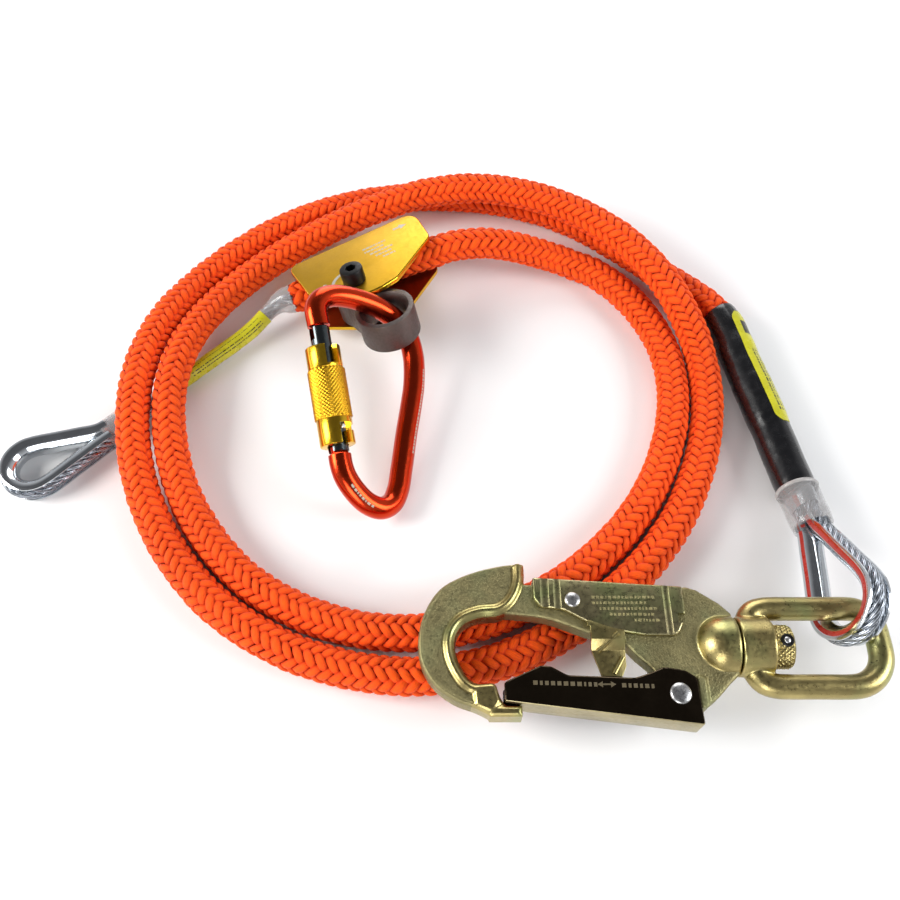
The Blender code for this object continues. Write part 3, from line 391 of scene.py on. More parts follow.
class Nodes:
    """A material's node tree, with short ways to add to it."""

    def __init__(self, name):
        self.material = bpy.data.materials.new(name)
        self.material.use_nodes = True
        self.tree = self.material.node_tree
        self.shader = self.tree.nodes["Principled BSDF"]
        self.where = self.node("ShaderNodeTexCoord").outputs["Object"]

    def node(self, kind, **settings):
        node = self.tree.nodes.new(kind)
        for key, value in settings.items():
            setattr(node, key, value)
        return node

    def link(self, out, into):
        self.tree.links.new(out, into)

    def feed(self, socket, value):
        if isinstance(value, bpy.types.NodeSocket):
            self.link(value, socket)
        else:
            socket.default_value = value

    def attribute(self, name, output="Fac"):
        return self.node("ShaderNodeAttribute", attribute_name=name).outputs[output]

    def noise(self, scale, detail=3.0, roughness=0.55, vector=None, stretch_by=None):
        vector = vector or self.where
        if stretch_by:
            mapping = self.node("ShaderNodeMapping")
            mapping.inputs["Scale"].default_value = stretch_by
            self.link(vector, mapping.inputs["Vector"])
            vector = mapping.outputs["Vector"]
        node = self.node("ShaderNodeTexNoise")
        node.inputs["Scale"].default_value = scale
        node.inputs["Detail"].default_value = detail
        node.inputs["Roughness"].default_value = roughness
        self.link(vector, node.inputs["Vector"])
        return node.outputs["Fac"]

    def math(self, operation, a, b=0.0):
        node = self.node("ShaderNodeMath", operation=operation)
        self.feed(node.inputs[0], a)
        self.feed(node.inputs[1], b)
        return node.outputs[0]

    def remap(self, value, low, high, to_low, to_high):
        node = self.node("ShaderNodeMapRange")
        for key, number in zip(("From Min", "From Max", "To Min", "To Max"), (low, high, to_low, to_high)):
            node.inputs[key].default_value = number
        self.link(value, node.inputs["Value"])
        return node.outputs["Result"]

    def ramp(self, value, stops):
        node = self.node("ShaderNodeValToRGB")
        elements = node.color_ramp.elements
        while len(elements) < len(stops):
            elements.new(0.5)
        for element, (at, colour) in zip(elements, stops):
            element.position = at
            element.color = (*colour, 1.0)
        self.link(value, node.inputs["Fac"])
        return node.outputs["Color"]

    def mix(self, share, a, b, blend="MIX"):
        node = self.node("ShaderNodeMix", data_type="RGBA", blend_type=blend)
        self.feed(node.inputs[0], share)
        for socket, value in ((node.inputs[6], a), (node.inputs[7], b)):
            self.feed(socket, value if isinstance(value, bpy.types.NodeSocket) else (*value, 1.0))
        return node.outputs[2]

    def bump(self, height, distance, strength=1.0, normal=None):
        node = self.node("ShaderNodeBump")
        node.inputs["Strength"].default_value = strength
        node.inputs["Distance"].default_value = distance
        self.link(height, node.inputs["Height"])
        if normal:
            self.link(normal, node.inputs["Normal"])
        return node.outputs["Normal"]

    def finish(self, colour, roughness, metallic=0.0, normal=None, **others):
        inputs = self.shader.inputs
        if isinstance(colour, bpy.types.NodeSocket):
            self.link(colour, inputs["Base Color"])
        else:
            inputs["Base Color"].default_value = (*colour, 1.0)
        self.feed(inputs["Roughness"], roughness)
        self.feed(inputs["Metallic"], metallic)
        if normal:
            self.link(normal, inputs["Normal"])
        for key, value in others.items():
            self.feed(inputs[key.replace("_", " ")], value)
        return self.material


def scaled(colour, k):
    return tuple(min(c * k, 1.0) for c in colour)


def metal(name, colour, roughness, spread=0.12, grain=0.00003, grain_scale=1800, edge=0.25, tint=None):
    """Plated, anodised or bare metal: clouded colour, uneven gloss, fine grain and brighter worn edges."""
    n = Nodes(name)
    clouds = n.noise(90, 4.0)
    stops = [(0.3, scaled(colour, 1 - spread)), (0.55, colour), (0.75, scaled(colour, 1 + spread))]
    shade = n.ramp(clouds, stops)
    if tint:
        patches = n.remap(n.noise(55, 2.0, vector=n.where), 0.48, 0.72, 0.0, 0.7)
        shade = n.mix(patches, shade, tint)
    point = n.node("ShaderNodeNewGeometry").outputs["Pointiness"]
    worn = n.remap(point, 0.53, 0.62, 0.0, edge)
    shade = n.mix(worn, shade, scaled(colour, 1.6))
    rough = n.remap(n.noise(700, 3.0), 0.3, 0.7, roughness * 0.8, roughness * 1.25)
    normal = n.bump(n.noise(grain_scale, 2.0), grain)
    return n.finish(shade, rough, 1.0, normal)


def braid_material():
    n = Nodes("braid_orange")
    lift = n.attribute("lift")
    fibre = n.attribute("fibre", "Vector")
    hairs = n.noise(1.0, 3.0, vector=fibre, stretch_by=(0.5, 5.0, 1.0))
    # The lift attribute paints shade into the colour. Where a yarn dips under the others, on each yarn's flanks
    # and on the core between the yarns, it takes the dark gap and shade colours. The yarns' crowns take the full
    # orange.
    depth = n.remap(lift, 0.15, 0.9, 0.0, 1.0)
    gap, shade, crown = (0.24, 0.010, 0.001), (0.70, 0.042, 0.002), (1.0, 0.105, 0.003)
    colour = n.ramp(depth, [(0.0, gap), (0.45, shade), (1.0, crown)])
    wash = n.ramp(n.noise(28, 3.0), [(0.3, (0.86, 0.84, 0.84)), (0.7, (1.0, 1.0, 1.0))])
    colour = n.mix(1.0, colour, wash, "MULTIPLY")
    streak = n.ramp(hairs, [(0.3, (0.70, 0.58, 0.5)), (0.62, (1.0, 1.0, 1.0))])
    colour = n.mix(0.8, colour, streak, "MULTIPLY")
    normal = n.bump(hairs, 0.00025, 0.9)
    rough = n.remap(hairs, 0.3, 0.7, 0.55, 0.8)
    return n.finish(colour, rough, 0.0, normal, Sheen_Weight=0.04, Specular_IOR_Level=0.18)


def wire_material():
    n = Nodes("wire_strands")
    fibre = n.attribute("fibre", "Vector")
    parts = n.node("ShaderNodeSeparateXYZ")
    n.link(fibre, parts.inputs[0])
    turn = n.math("ADD", n.math("MULTIPLY", parts.outputs[1], 9.0), n.math("MULTIPLY", parts.outputs[0], 1.1))
    wires = n.remap(n.math("SINE", turn), -1.0, 1.0, 0.0, 1.0)
    # The colour darkens in the troughs of the wire pattern: painted shade between the wires, with the steel's
    # own grey on their crowns.
    colour = n.ramp(wires, [(0.1, (0.11, 0.12, 0.14)), (0.5, (0.34, 0.37, 0.42)), (1.0, (0.52, 0.56, 0.61))])
    return n.finish(colour, n.remap(n.noise(600), 0.3, 0.7, 0.22, 0.4), 1.0, n.bump(wires, 0.0001))


def plastic(name, colour, roughness, spread=0.1, lumps=0.0002, scale=160, **others):
    n = Nodes(name)
    shade = n.ramp(n.noise(60, 4.0), [(0.35, scaled(colour, 1 - spread)), (0.7, scaled(colour, 1 + spread))])
    rough = n.remap(n.noise(320, 3.0), 0.3, 0.7, roughness * 0.75, roughness * 1.3)
    return n.finish(shade, rough, 0.0, n.bump(n.noise(scale, 2.0), lumps), **others)


def label_material(name, run, lines, head):
    """Plain label: a bright ground with dark rules and a header block, and no words."""
    n = Nodes(name)
    parts = n.node("ShaderNodeSeparateXYZ")
    n.link(n.attribute("fibre", "Vector"), parts.inputs[0])
    s, v = parts.outputs[0], parts.outputs[1]
    ground = n.ramp(n.noise(120, 3.0), [(0.3, (0.42, 0.40, 0.012)), (0.7, (0.55, 0.52, 0.02))])
    gaps = n.noise(1.0, 1.0, vector=n.attribute("fibre", "Vector"), stretch_by=(1.3, 0.2, 1.0))
    marks = n.math("GREATER_THAN", gaps, 0.46)
    rule = None
    for low, high in lines:
        band = n.math("MULTIPLY", n.math("GREATER_THAN", v, low), n.math("LESS_THAN", v, high))
        rule = band if rule is None else n.math("MAXIMUM", rule, band)
    inside = n.math("MULTIPLY", n.math("GREATER_THAN", s, run[0]), n.math("LESS_THAN", s, run[1]))
    ink = n.math("MULTIPLY", n.math("MULTIPLY", rule, inside), marks)
    block = n.math("MULTIPLY", n.math("GREATER_THAN", s, head[0]), n.math("LESS_THAN", s, head[1]))
    tall = n.math("MULTIPLY", n.math("GREATER_THAN", v, 0.3), n.math("LESS_THAN", v, 0.7))
    block = n.math("MULTIPLY", block, tall)
    ink = n.math("MAXIMUM", ink, block)
    colour = n.mix(ink, ground, (0.02, 0.02, 0.015))
    rough = n.remap(n.noise(300), 0.3, 0.7, 0.22, 0.4)
    return n.finish(colour, rough, 0.0, n.bump(n.noise(240, 2.0), 0.0001))


BRAID = braid_material()
WIRE = wire_material()
YELLOW_ZINC = metal("yellow_zinc", (0.40, 0.325, 0.135), 0.32, 0.2, 0.00005, 1500, 0.45, tint=(0.30, 0.34, 0.14))
FORGED_ZINC = metal("forged_zinc", (0.29, 0.255, 0.125), 0.5, 0.2, 0.00028, 1150, 0.6, tint=(0.24, 0.25, 0.125))
PRESSED_ZINC = metal("pressed_zinc", (0.40, 0.35, 0.19), 0.3, 0.2, 0.00004, 900, 0.45, tint=(0.28, 0.36, 0.13))
DARK_ZINC = metal("dark_zinc", (0.055, 0.04, 0.025), 0.18, 0.25, 0.00002, 900, 0.8)
GATE_WEB = metal("gate_web", (0.40, 0.34, 0.19), 0.34, 0.2, 0.00005, 900, 0.3)
BRIGHT_ZINC = metal("bright_zinc", (0.60, 0.63, 0.66), 0.13, 0.1, 0.00001, 700, 0.2)
STEEL = metal("plain_steel", (0.50, 0.50, 0.50), 0.3, 0.1, 0.00003, 1500, 0.3)
GOLD_TOP = metal("gold_anodised", (0.55, 0.31, 0.018), 0.38, 0.1, 0.00004, 2600, 0.35)
GOLD_BRIGHT = metal("gold_polished", (0.80, 0.48, 0.03), 0.2, 0.1, 0.00001, 1500, 0.3)
GOLD_KNURL = metal("gold_knurled", (0.66, 0.36, 0.02), 0.3, 0.1, 0.00001, 1500, 0.3)
RED = metal("red_anodised", (0.62, 0.045, 0.012), 0.2, 0.08, 0.00001, 1500, 0.2)
GATE_GREY = metal("grey_anodised", (0.085, 0.10, 0.105), 0.2, 0.12, 0.00001, 1500, 0.3)
# Darker, redder brown for the faces inside the grab shell's channel: painted shade in the channel.
CHANNEL_PAINTED_SHADE = metal("gold_channel_painted_shade", (0.30, 0.085, 0.02), 0.4, 0.15, 0.00004, 2600, 0.2)
CAM_GREY = metal("cam_grey", (0.12, 0.10, 0.092), 0.5, 0.1, 0.00005, 2200, 0.7)
BLACK_STEEL = metal("black_steel", (0.028, 0.028, 0.028), 0.42, 0.2, 0.00003, 2000, 0.5)
BRONZE = metal("bronze", (0.42, 0.25, 0.10), 0.4)
HEAT_BLACK = plastic("heat_shrink_black", (0.004, 0.004, 0.005), 0.24, 0.3, 0.00035, 90, Coat_Weight=0.3)
CLEAR = plastic("clear_shrink", (0.42, 0.41, 0.41), 0.14, 0.05, 0.0003, 150, Alpha=0.3, Coat_Weight=0.5)
CLEAR_RIM = plastic("clear_rim", (0.42, 0.40, 0.39), 0.25, 0.1, 0.0002, 200, Alpha=0.8)
# Red band for the hook thimble's lips: a painted reflection of the orange rope in the polished metal.
PAINTED_ROPE_REFLECTION = plastic("red_painted_reflection", (0.33, 0.022, 0.014), 0.3, 0.1, 0.00005, 300, Coat_Weight=0.3)
MARK = plastic("pale_mark", (0.42, 0.40, 0.33), 0.4, 0.08, 0.00005, 900)
STAMP = plastic("stamped_mark", (0.10, 0.08, 0.045), 0.4, 0.1, 0.00005, 900)


def set_fibre(obj, values, name="fibre"):
    """Keeps a coordinate for each point of a mesh, for its material to read."""
    values = np.asarray(values, np.float32)
    if values.ndim == 1:
        obj.data.attributes.new(name, "FLOAT", "POINT").data.foreach_set("value", values)
    else:
        obj.data.attributes.new(name, "FLOAT_VECTOR", "POINT").data.foreach_set("vector", values.ravel())
    return obj


def place(obj, body, material, nodes=(), angle=32, others=()):
    """Turns a piece into metres, shades it, and hangs it on its body in place of its CAD nodes."""
    obj.data.transform(TO_ROW)
    obj.data.materials.clear()
    for each in (material, *others):
        obj.data.materials.append(each)
    obj.data.shade_smooth()
    obj.data.set_sharp_from_angle(angle=math.radians(angle))
    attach(obj, body)
    if nodes:
        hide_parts(*nodes)
    return obj


def paint(obj, chosen, index):
    """Another of the piece's materials for the faces where chosen(centre in mm, normal) holds."""
    back = TO_ROW.inverted()
    for face in obj.data.polygons:
        if chosen(back @ face.center, face.normal):
            face.material_index = index


# ---------------------------------------------------------------- the layout's numbers

ROPE_R = 8.0
COIL_CENTRE = (-12.0, 28.0)
COIL = (
    (21.5, 160.5, 9.9), (30, 152.5, 8.8), (40, 147.5, 8.3), (55, 145, 8.3), (70, 143, 8.3),
    (85, 141, 8.3), (97, 140.5, 8.3), (110, 141, 8.3), (123, 142, 8.3), (137, 143, 8.8),
    (150, 143.5, 11.5), (162, 143.8, 16.2), (174, 144, 19), (186, 144, 18.6), (200, 144.5, 14),
    (215, 145, 9.5), (230, 145.5, 8.3), (245, 145.5, 8.3), (258, 145, 8.3), (270, 144.5, 8.3),
    (284, 142, 8.3), (296, 139.5, 8.3), (307, 138, 8.3), (319, 137.5, 8.3), (332, 138, 8.3),
    (346, 139.5, 8.3), (357, 141.5, 9), (367, 142.5, 12), (377, 141.5, 18), (388, 140, 23.5),
    (400, 139.5, 25), (413, 138.5, 25), (425, 136.5, 25), (437, 133.5, 24.5),
    (449, 129.5, 22.5), (461, 126, 18.5), (474, 124, 13.5), (488, 124, 10), (502, 125.5, 9),
    (515, 126.4, 12), (526, 126.8, 15.8), (536, 127, 17.8), (546, 127, 17), (558, 127.3, 13.5),
    (570, 127.7, 10), (583, 128, 8.5), (595, 128.2, 8.3), (610, 127.5, 8.3), (625, 126, 8.3),
    (640, 123.5, 8.3), (656, 120.8, 8.3), (672, 119.8, 8.3), (688, 120.4, 8.3),
    (704, 122.2, 8.3), (720, 125.2, 8.3), (734, 127, 8.3), (748, 126, 8.3), (761, 122.8, 8.3),
)
ROPE_LEAD_IN = (
    (69.0, 114.6, 8.8), (57.0, 118.4, 10.9), (45.0, 118.9, 15.4), (32.0, 117.6, 21.0),
    (19.0, 115.6, 25.2),
)
HEAT_ROUTE = ((162.5, -20.0, 10.4), (157.5, 10.0, 10.2), (150.5, 46.0, 10.4), (145.2, 72.0, 10.5))
HEAT_LENGTH, CLEAR_LENGTH = 129.0, 21.0

GRAB = turned((-48.8, 80.0, 35.3), 27.4, 5.4, -15.0)
SHELL_T, SHELL_INSIDE = 2.6, 19.2
CHANNEL_MID = -(SHELL_T + SHELL_INSIDE / 2)
SHELL_DEPTH = 2 * SHELL_T + SHELL_INSIDE
ROPE_V_AT_AXLE, ROPE_SLANT, ROPE_END_U = 19.9, math.radians(-10.8), -30.0
CAM_T, CAM_REACH, CAM_EYE, CAM_EYE_R, CAM_EYE_BORE = 16.6, 10.9, (5.0, -25.5), 15.0, 10.6

BINER = turned((-32.0, -36.0, 10.0), 89.4, 12.4, 36.0)
BINER_ROUTE = (
    (90, 40.4), (95.3, 38.2), (99.2, 32.5), (101.4, 24), (101.8, 15), (101, 6), (97.8, -3.5),
    (91.3, -11.2), (80.5, -15.4), (66, -16.3), (54, -15), (38, -12.6), (20, -10.4), (9, -8.7),
    (2, -5.6), (-1.5, 0), (-0.5, 7.5), (4.5, 15), (10.5, 20.2), (16, 22.63),
)
GATE_HINGE_END, GATE_NOSE_END = Vector((20.0, 23.6)), Vector((81.2, 38.34))
GATE_SPAN = GATE_NOSE_END - GATE_HINGE_END
GATE_LENGTH = GATE_SPAN.length
GATE = frame(
    BINER @ Vector((*GATE_HINGE_END, 0)),
    direction(BINER, (*GATE_SPAN, 0)),
    direction(BINER, (-GATE_SPAN.y, GATE_SPAN.x, 0)),
)
TURN_Z_TO_X = Matrix.Rotation(math.pi / 2, 4, "Y")
ALONG_GATE = GATE @ TURN_Z_TO_X

HOOK = Matrix.Translation((0.0, -109.0, 24.2))
ALONG_HOOK = HOOK @ TURN_Z_TO_X
GATE_PIVOT, LEVER_PIVOT = (91.0, -21.0), (51.0, 18.0)
GATE_HALF, COVER_HALF = 6.9, 6.7
BAIL_TOP, BAIL_HALF = 177.4, 16.5

CABLE_R, LEG = 3.3, 3.6
HOOK_EYE_AT, HOOK_EYE_AXIS = (166.6, -49.0, 13.5), Vector((0.026, -0.951, 0.309))
HOOK_EYE_TILT = math.radians(66.9)
EYE_FLAT = HOOK_EYE_AXIS.cross(Z).normalized()
EYE_RISE = EYE_FLAT.cross(HOOK_EYE_AXIS).normalized()
HOOK_EYE = frame(
    HOOK_EYE_AT, HOOK_EYE_AXIS, EYE_RISE * math.sin(HOOK_EYE_TILT) - EYE_FLAT * math.cos(HOOK_EYE_TILT)
)
TAIL_EYE_AT = (-171.0, 3.5, 6.4)
TAIL_HEADING = Vector((math.cos(math.radians(210)), math.sin(math.radians(210)), 0))
TAIL_EYE = frame(TAIL_EYE_AT, TAIL_HEADING, Z.cross(TAIL_HEADING))
TAIL_ROUTE = ((-107.0, 68.5, 7.4), (-129.0, 48.5, 4.9), (-146.0, 31.5, 4.6), (-160.0, 15.5, 5.3))


def rope_in_grab(u):
    return GRAB @ Vector((u, ROPE_V_AT_AXLE + u * math.tan(ROPE_SLANT), CHANNEL_MID))


def main_line():
    """Middle of heat-shrink tube and rope, from the hook's eye to the rope's cut end."""
    laid = []
    for angle, radius, height in COIL:
        a = math.radians(angle)
        laid.append((COIL_CENTRE[0] + radius * math.cos(a), COIL_CENTRE[1] + radius * math.sin(a), height))
    grabbed = [rope_in_grab(u) for u in (57, 45, 20, -5, ROPE_END_U)]
    return smooth([HOOK_EYE_AT, *HEAT_ROUTE, *laid, *ROPE_LEAD_IN, *grabbed], 1.0)


MAIN = main_line()
MAIN_LENGTH = arc_lengths(MAIN)[-1]
TAIL = smooth([rope_in_grab(ROPE_END_U - 0.6), rope_in_grab(ROPE_END_U - 8), *TAIL_ROUTE, TAIL_EYE_AT], 1.0)
TAIL_LENGTH = arc_lengths(TAIL)[-1]


# ---------------------------------------------------------------- camera, floor and lights


def make_stage():
    floor = bpy.data.meshes.new("floor")
    far = 4.0
    floor.from_pydata([(-far, -far, 0), (far, -far, 0), (far, far, 0), (-far, far, 0)], [], [(0, 1, 2, 3)])
    floor = linked("floor", floor)
    n = Nodes("pale_floor")
    shade = n.ramp(n.noise(3, 3.0), [(0.3, (0.86, 0.86, 0.86)), (0.7, (0.9, 0.9, 0.9))])
    floor.data.materials.append(n.finish(shade, 0.6, 0.0, n.bump(n.noise(180, 3.0), 0.0002, 0.3)))

    camera = bpy.data.cameras.new("camera")
    camera.sensor_width = 36.0
    camera.lens = 35.2
    camera.clip_start = 0.01
    camera = linked("camera", camera)
    at, target = Vector((0.0176, -0.2191, 0.3783)), Vector((0.0176, 0.0055, 0.0))
    camera.location = at
    camera.rotation_euler = (target - at).to_track_quat("-Z", "Y").to_euler()
    bpy.context.scene.camera = camera

    lamps = (
        ("left", (-1.0, -0.1, 0.62), 0.6, 15.0, (1.0, 0.985, 0.96)),
        ("right", (1.0, -0.2, 0.6), 0.6, 9.0, (0.96, 0.98, 1.0)),
        ("back", (0.1, 1.1, 0.5), 0.8, 8.0, (1.0, 1.0, 1.0)),
        ("front", (-0.2, -1.0, 0.5), 0.5, 5.0, (1.0, 1.0, 1.0)),
    )
    for name, place_at, size, power, colour in lamps:
        light = bpy.data.lights.new(name, "AREA")
        light.size = size
        light.energy = power
        light.color = colour
        lamp = linked(name, light)
        lamp.location = place_at
        lamp.rotation_euler = (Vector((0, 0, 0)) - lamp.location).to_track_quat("-Z", "Y").to_euler()

    world = bpy.data.worlds.new("studio")
    world.use_nodes = True
    bpy.context.scene.world = world
    tree = world.node_tree
    where = tree.nodes.new("ShaderNodeTexCoord")
    parts = tree.nodes.new("ShaderNodeSeparateXYZ")
    ramp = tree.nodes.new("ShaderNodeValToRGB")
    stops = ((0.35, (0.60, 0.60, 0.61, 1)), (0.8, (0.12, 0.12, 0.125, 1)))
    for element, (at, colour) in zip(ramp.color_ramp.elements, stops):
        element.position, element.color = at, colour
    tree.links.new(where.outputs["Generated"], parts.inputs[0])
    tree.links.new(parts.outputs[2], ramp.inputs["Fac"])
    tree.links.new(ramp.outputs["Color"], tree.nodes["Background"].inputs["Color"])
    tree.nodes["Background"].inputs["Strength"].default_value = 1.0
    bpy.context.scene.view_settings.view_transform = "Standard"


# ---------------------------------------------------------------- rope

BRAID_PITCH, YARNS_EACH_WAY = 41.0, 8
YARN_HALF_WIDTH, YARN_HALF_THICKNESS, YARN_RISE = 1.62, 1.05, 0.84
CORE_R, BRAID_SEED = 5.3, 11


def make_rope():
    """Sixteen yarns, eight each way, each over two and under two, laid round a core."""
    pitch, pairs = BRAID_PITCH, YARNS_EACH_WAY
    start = HEAT_LENGTH - 8.0
    step = pitch / 16 / 2.5
    points = stretch(MAIN, start, MAIN_LENGTH, step)
    t, a, b = across(points)
    s = arc_lengths(points)
    rows = len(points)
    rng = np.random.default_rng(BRAID_SEED)
    q = np.radians(np.linspace(-20, 200, 6))
    verts, faces, fibre, painted_shade_levels = [], [], [], []
    for hand in (1, -1):
        for k in range(pairs):
            turn = 2 * math.pi * (k / pairs + hand * s / pitch)
            phase = 2 * math.pi * (16 * turn / (2 * math.pi) - 0.5) / 4
            wave = hand * np.cos(phase)
            lift = np.sign(wave) * np.abs(wave) ** 0.7
            slack = np.interp(s, s[::12], rng.normal(0, 0.13, len(s[::12])))
            out = a * np.cos(turn)[:, None] + b * np.sin(turn)[:, None]
            round_ = b * np.cos(turn)[:, None] - a * np.sin(turn)[:, None]
            lead = unit(t + round_ * (hand * 2 * math.pi * 6.4 / pitch))
            wide = np.cross(lead, out)
            middle = points + out * (ROPE_R - YARN_HALF_WIDTH + YARN_RISE * lift + slack * 0.8)[:, None]
            half = (YARN_HALF_WIDTH + 0.34 * lift + slack)[:, None]
            thick = (YARN_HALF_THICKNESS + 0.12 * lift)[:, None]
            for angle in q:
                verts.append(middle + wide * (half * math.cos(angle)) + out * (thick * math.sin(angle)))
            base = (len(verts) - 6) * rows
            i, j = np.meshgrid(np.arange(rows - 1), np.arange(5), indexing="ij")
            at = base + j * rows + i
            faces.append(np.stack([at, at + 1, at + rows + 1, at + rows], -1).reshape(-1, 4))
            for line, angle in enumerate(q):
                yarn = np.full(rows, 3.1 * (k + 8 * (hand > 0)))
                fibre.append(np.stack([s / 0.6, np.full(rows, line * 0.8), yarn], 1))
                # Painted shade level for the material: low where the yarn dips under and on its flanks, high on
                # its crown.
                painted_shade_levels.append((lift * 0.5 + 0.5) * 0.55 + 0.45 * max(math.sin(angle), 0.0))
    ring = oval(CORE_R, CORE_R, 14)
    core = stretch(MAIN, start, MAIN_LENGTH, 3.0)
    _, ca, cb = across(core)
    core = (core[:, None] + ca[:, None] * ring[:, :1] + cb[:, None] * ring[:, 1:]).reshape(-1, 3)
    base = len(verts) * rows
    faces = np.vstack(faces).tolist() + grid_faces(len(core) // 14, 14, base)
    last = base + len(core) - 14
    faces += [tuple(range(base, base + 14)), tuple(range(last, last + 14))]
    rope = solid("rope_braid", np.vstack([*verts, core]), faces, clean=False)
    set_fibre(rope, np.vstack([*fibre, core * 0.0]))
    # The core takes level zero, the darkest painted shade, seen in the gaps between the yarns.
    set_fibre(rope, np.concatenate([*painted_shade_levels, np.zeros(len(core))]), "lift")
    place(rope, "lanyard", BRAID, ["rope"], angle=180)
    path = [TO_ROW @ Vector(p) for p in stretch(MAIN, start, MAIN_LENGTH, 4.0)]
    exit_at = TO_ROW @ Vector(at_lengths(MAIN, [HEAT_LENGTH])[0])


# ---------------------------------------------------------------- wire eyes


def eye_line(m, centre, radius):
    """The wire's way outside its ferrule: down one leg, round the bight and back."""
    first = math.pi - math.atan2(LEG, centre) - math.acos(radius / math.hypot(centre, LEG))
    turn = np.linspace(first, -first, 11)
    bight = [m @ Vector((centre + radius * math.cos(a), radius * math.sin(a), 0)) for a in turn]
    throat = [m @ Vector((0, side, 0)) for side in (LEG, -LEG)]
    down = [throat[0].lerp(bight[0], t) for t in (0.05, 0.3, 0.6)]
    back = [throat[1].lerp(bight[-1], t) for t in (0.6, 0.3, 0.05)]
    return [*down, *bight, *back]


def side_sign(points, normal, m):
    return 1 if across(points, normal)[1][-1].dot(np.array(direction(m, (0, 1, 0)))) > 0 else -1


def laid_wire(name, points, radius, body, nodes):
    """Six strands laid round a core strand."""
    points = respaced(points, 1.2)
    _, a, b = across(points)
    s = arc_lengths(points)
    strand, ring, pitch = radius * 0.36, radius * 0.64, 27.0
    verts, fibre, faces = [], [], []
    around = oval(1, 1, 10)
    for k in range(7):
        r = ring if k < 6 else 0.0
        turn = 2 * math.pi * (k / 6 + s / pitch)
        out = a * np.cos(turn)[:, None] + b * np.sin(turn)[:, None]
        middle = points + out * r
        _, sa, sb = across(middle)
        tube = middle[:, None] + strand * (sa[:, None] * around[:, :1] + sb[:, None] * around[:, 1:])
        faces += grid_faces(len(points), 10, len(verts) * len(points) * 10)
        verts.append(tube.reshape(-1, 3))
        angle = np.linspace(0, 2 * math.pi, 10, endpoint=False)
        grid = np.stack(np.broadcast_arrays(s[:, None], angle[None], 0.0), -1)
        fibre.append(grid.reshape(-1, 3))
    wire = solid(name, np.vstack(verts), faces, clean=False)
    set_fibre(wire, np.vstack(fibre))
    return place(wire, body, WIRE, nodes, angle=180)


def thimble(name, m, wire, metal_t, reach, node, painted_reflection):
    """The grooved strip inside the wire, with rolled lips."""
    groove = CABLE_R + 0.5
    lip = groove + metal_t
    inner = [(-groove * math.cos(a), groove * math.sin(a)) for a in np.radians(np.linspace(-72, 72, 13))]
    edge = [(1.2, groove + 0.35), (1.9, groove + 0.75), (1.95, lip + 0.1), (1.3, lip + 0.45)]
    flank = [(0.2, lip + 0.5), (-1.9, lip + 0.35), (-3.2, groove * 1.12)]
    flank += [(-groove - metal_t * 0.6, groove * 0.78), (-groove - metal_t, groove * 0.4)]
    half = edge + flank
    section = inner + half + [(-groove - metal_t - 0.05, 0.0)] + [(x, -y) for x, y in reversed(half)]
    inverse = m.inverted()
    points = respaced(wire, 1.5)
    points = np.array([p for p in points if (inverse @ Vector(p)).x > reach])
    normal = direction(m, (0, 0, 1))
    middle = len(points) // 2
    away = points[middle] - np.array(m.translation)
    sign = 1 if away.dot(across(points, normal)[1][middle]) > 0 else -1
    room = np.array([abs((inverse @ Vector(p)).y) for p in points]) - 0.12
    sections = np.repeat(np.array(section)[None], len(points), 0)
    legs = np.array([(inverse @ Vector(p)).x for p in points]) < 22
    sections[legs, :, 0] = np.maximum(sections[legs, :, 0], -room[legs, None])
    sections[:, :, 0] *= sign
    obj = swept(name, points, sections, normal)
    place(obj, "lanyard", BRIGHT_ZINC, [node], angle=55, others=[PAINTED_ROPE_REFLECTION])
    # On the hook's thimble, a red band along both lips: a painted reflection of the orange rope.
    if painted_reflection:
        n = len(section)
        reflection_bands = {len(inner) + len(edge), n - 2 - len(edge)}
        for face in obj.data.polygons:
            corners = sorted(v % n for v in face.vertices)
            if len(corners) == 4 and corners[0] == corners[1] and corners[0] in reflection_bands:
                face.material_index = 1
    return obj


def wire_at(m, centre, radius, near, far):
    return smooth([*near[:-1], *eye_line(m, centre, radius), *far[::-1][1:]], 1.2)


def make_hook_eye():
    normal = direction(HOOK_EYE, (0, 0, 1))
    root = stretch(MAIN, 0, 52, 5)[::-1]
    sign = side_sign(root, normal, HOOK_EYE)
    near, far = beside(root, normal, sign * LEG), beside(root, normal, -sign * LEG)
    wire = wire_at(HOOK_EYE, 43.0, 16.0, near, far)
    laid_wire("eye_wire_hook", wire, CABLE_R, "lanyard", ["cable_eye_hook"])
    thimble("eye_thimble_hook", HOOK_EYE, wire, 1.5, -4, "thimble_hook", True)
    clear = stretch(MAIN, 0, CLEAR_LENGTH, 1.0)
    s = np.linspace(0, 1, len(clear))
    swell = 9.75 - 0.5 * np.exp(-((s - 0.0) / 0.18) ** 2) + 0.12 * np.sin(s * 9)
    outer = np.stack([swell, swell], 1)
    sleeve = pipe("eye_sleeve_hook", clear, outer, outer - 0.5, 48)
    place(sleeve, "lanyard", CLEAR, ["clear_sleeve_hook"])
    rim = stretch(MAIN, CLEAR_LENGTH - 1.6, CLEAR_LENGTH + 0.2, 0.3)
    bulge = 9.9 + 0.35 * np.sin(np.linspace(0, math.pi, len(rim)))
    bulge = np.stack([bulge, bulge], 1)
    place(pipe("eye_sleeve_rim", rim, bulge, bulge - 0.6, 48), "lanyard", CLEAR_RIM)


def wrap_label(name, line, span, at, thick, low, high, n, look, node):
    """A label on a tube: its material reads millimetres along it and the share of its width."""
    strip = patch(name, line, at + 0.02, at + thick, low, high, Z, n)
    v = np.tile(np.concatenate([np.linspace(0, 1, n + 1), np.linspace(1, 0, n + 1)]), len(line))
    run = np.repeat(np.linspace(0, span, len(line)), 2 * (n + 1))
    set_fibre(strip, np.stack([run, v, v * 0], 1))
    place(strip, "lanyard", look, [node], angle=40)


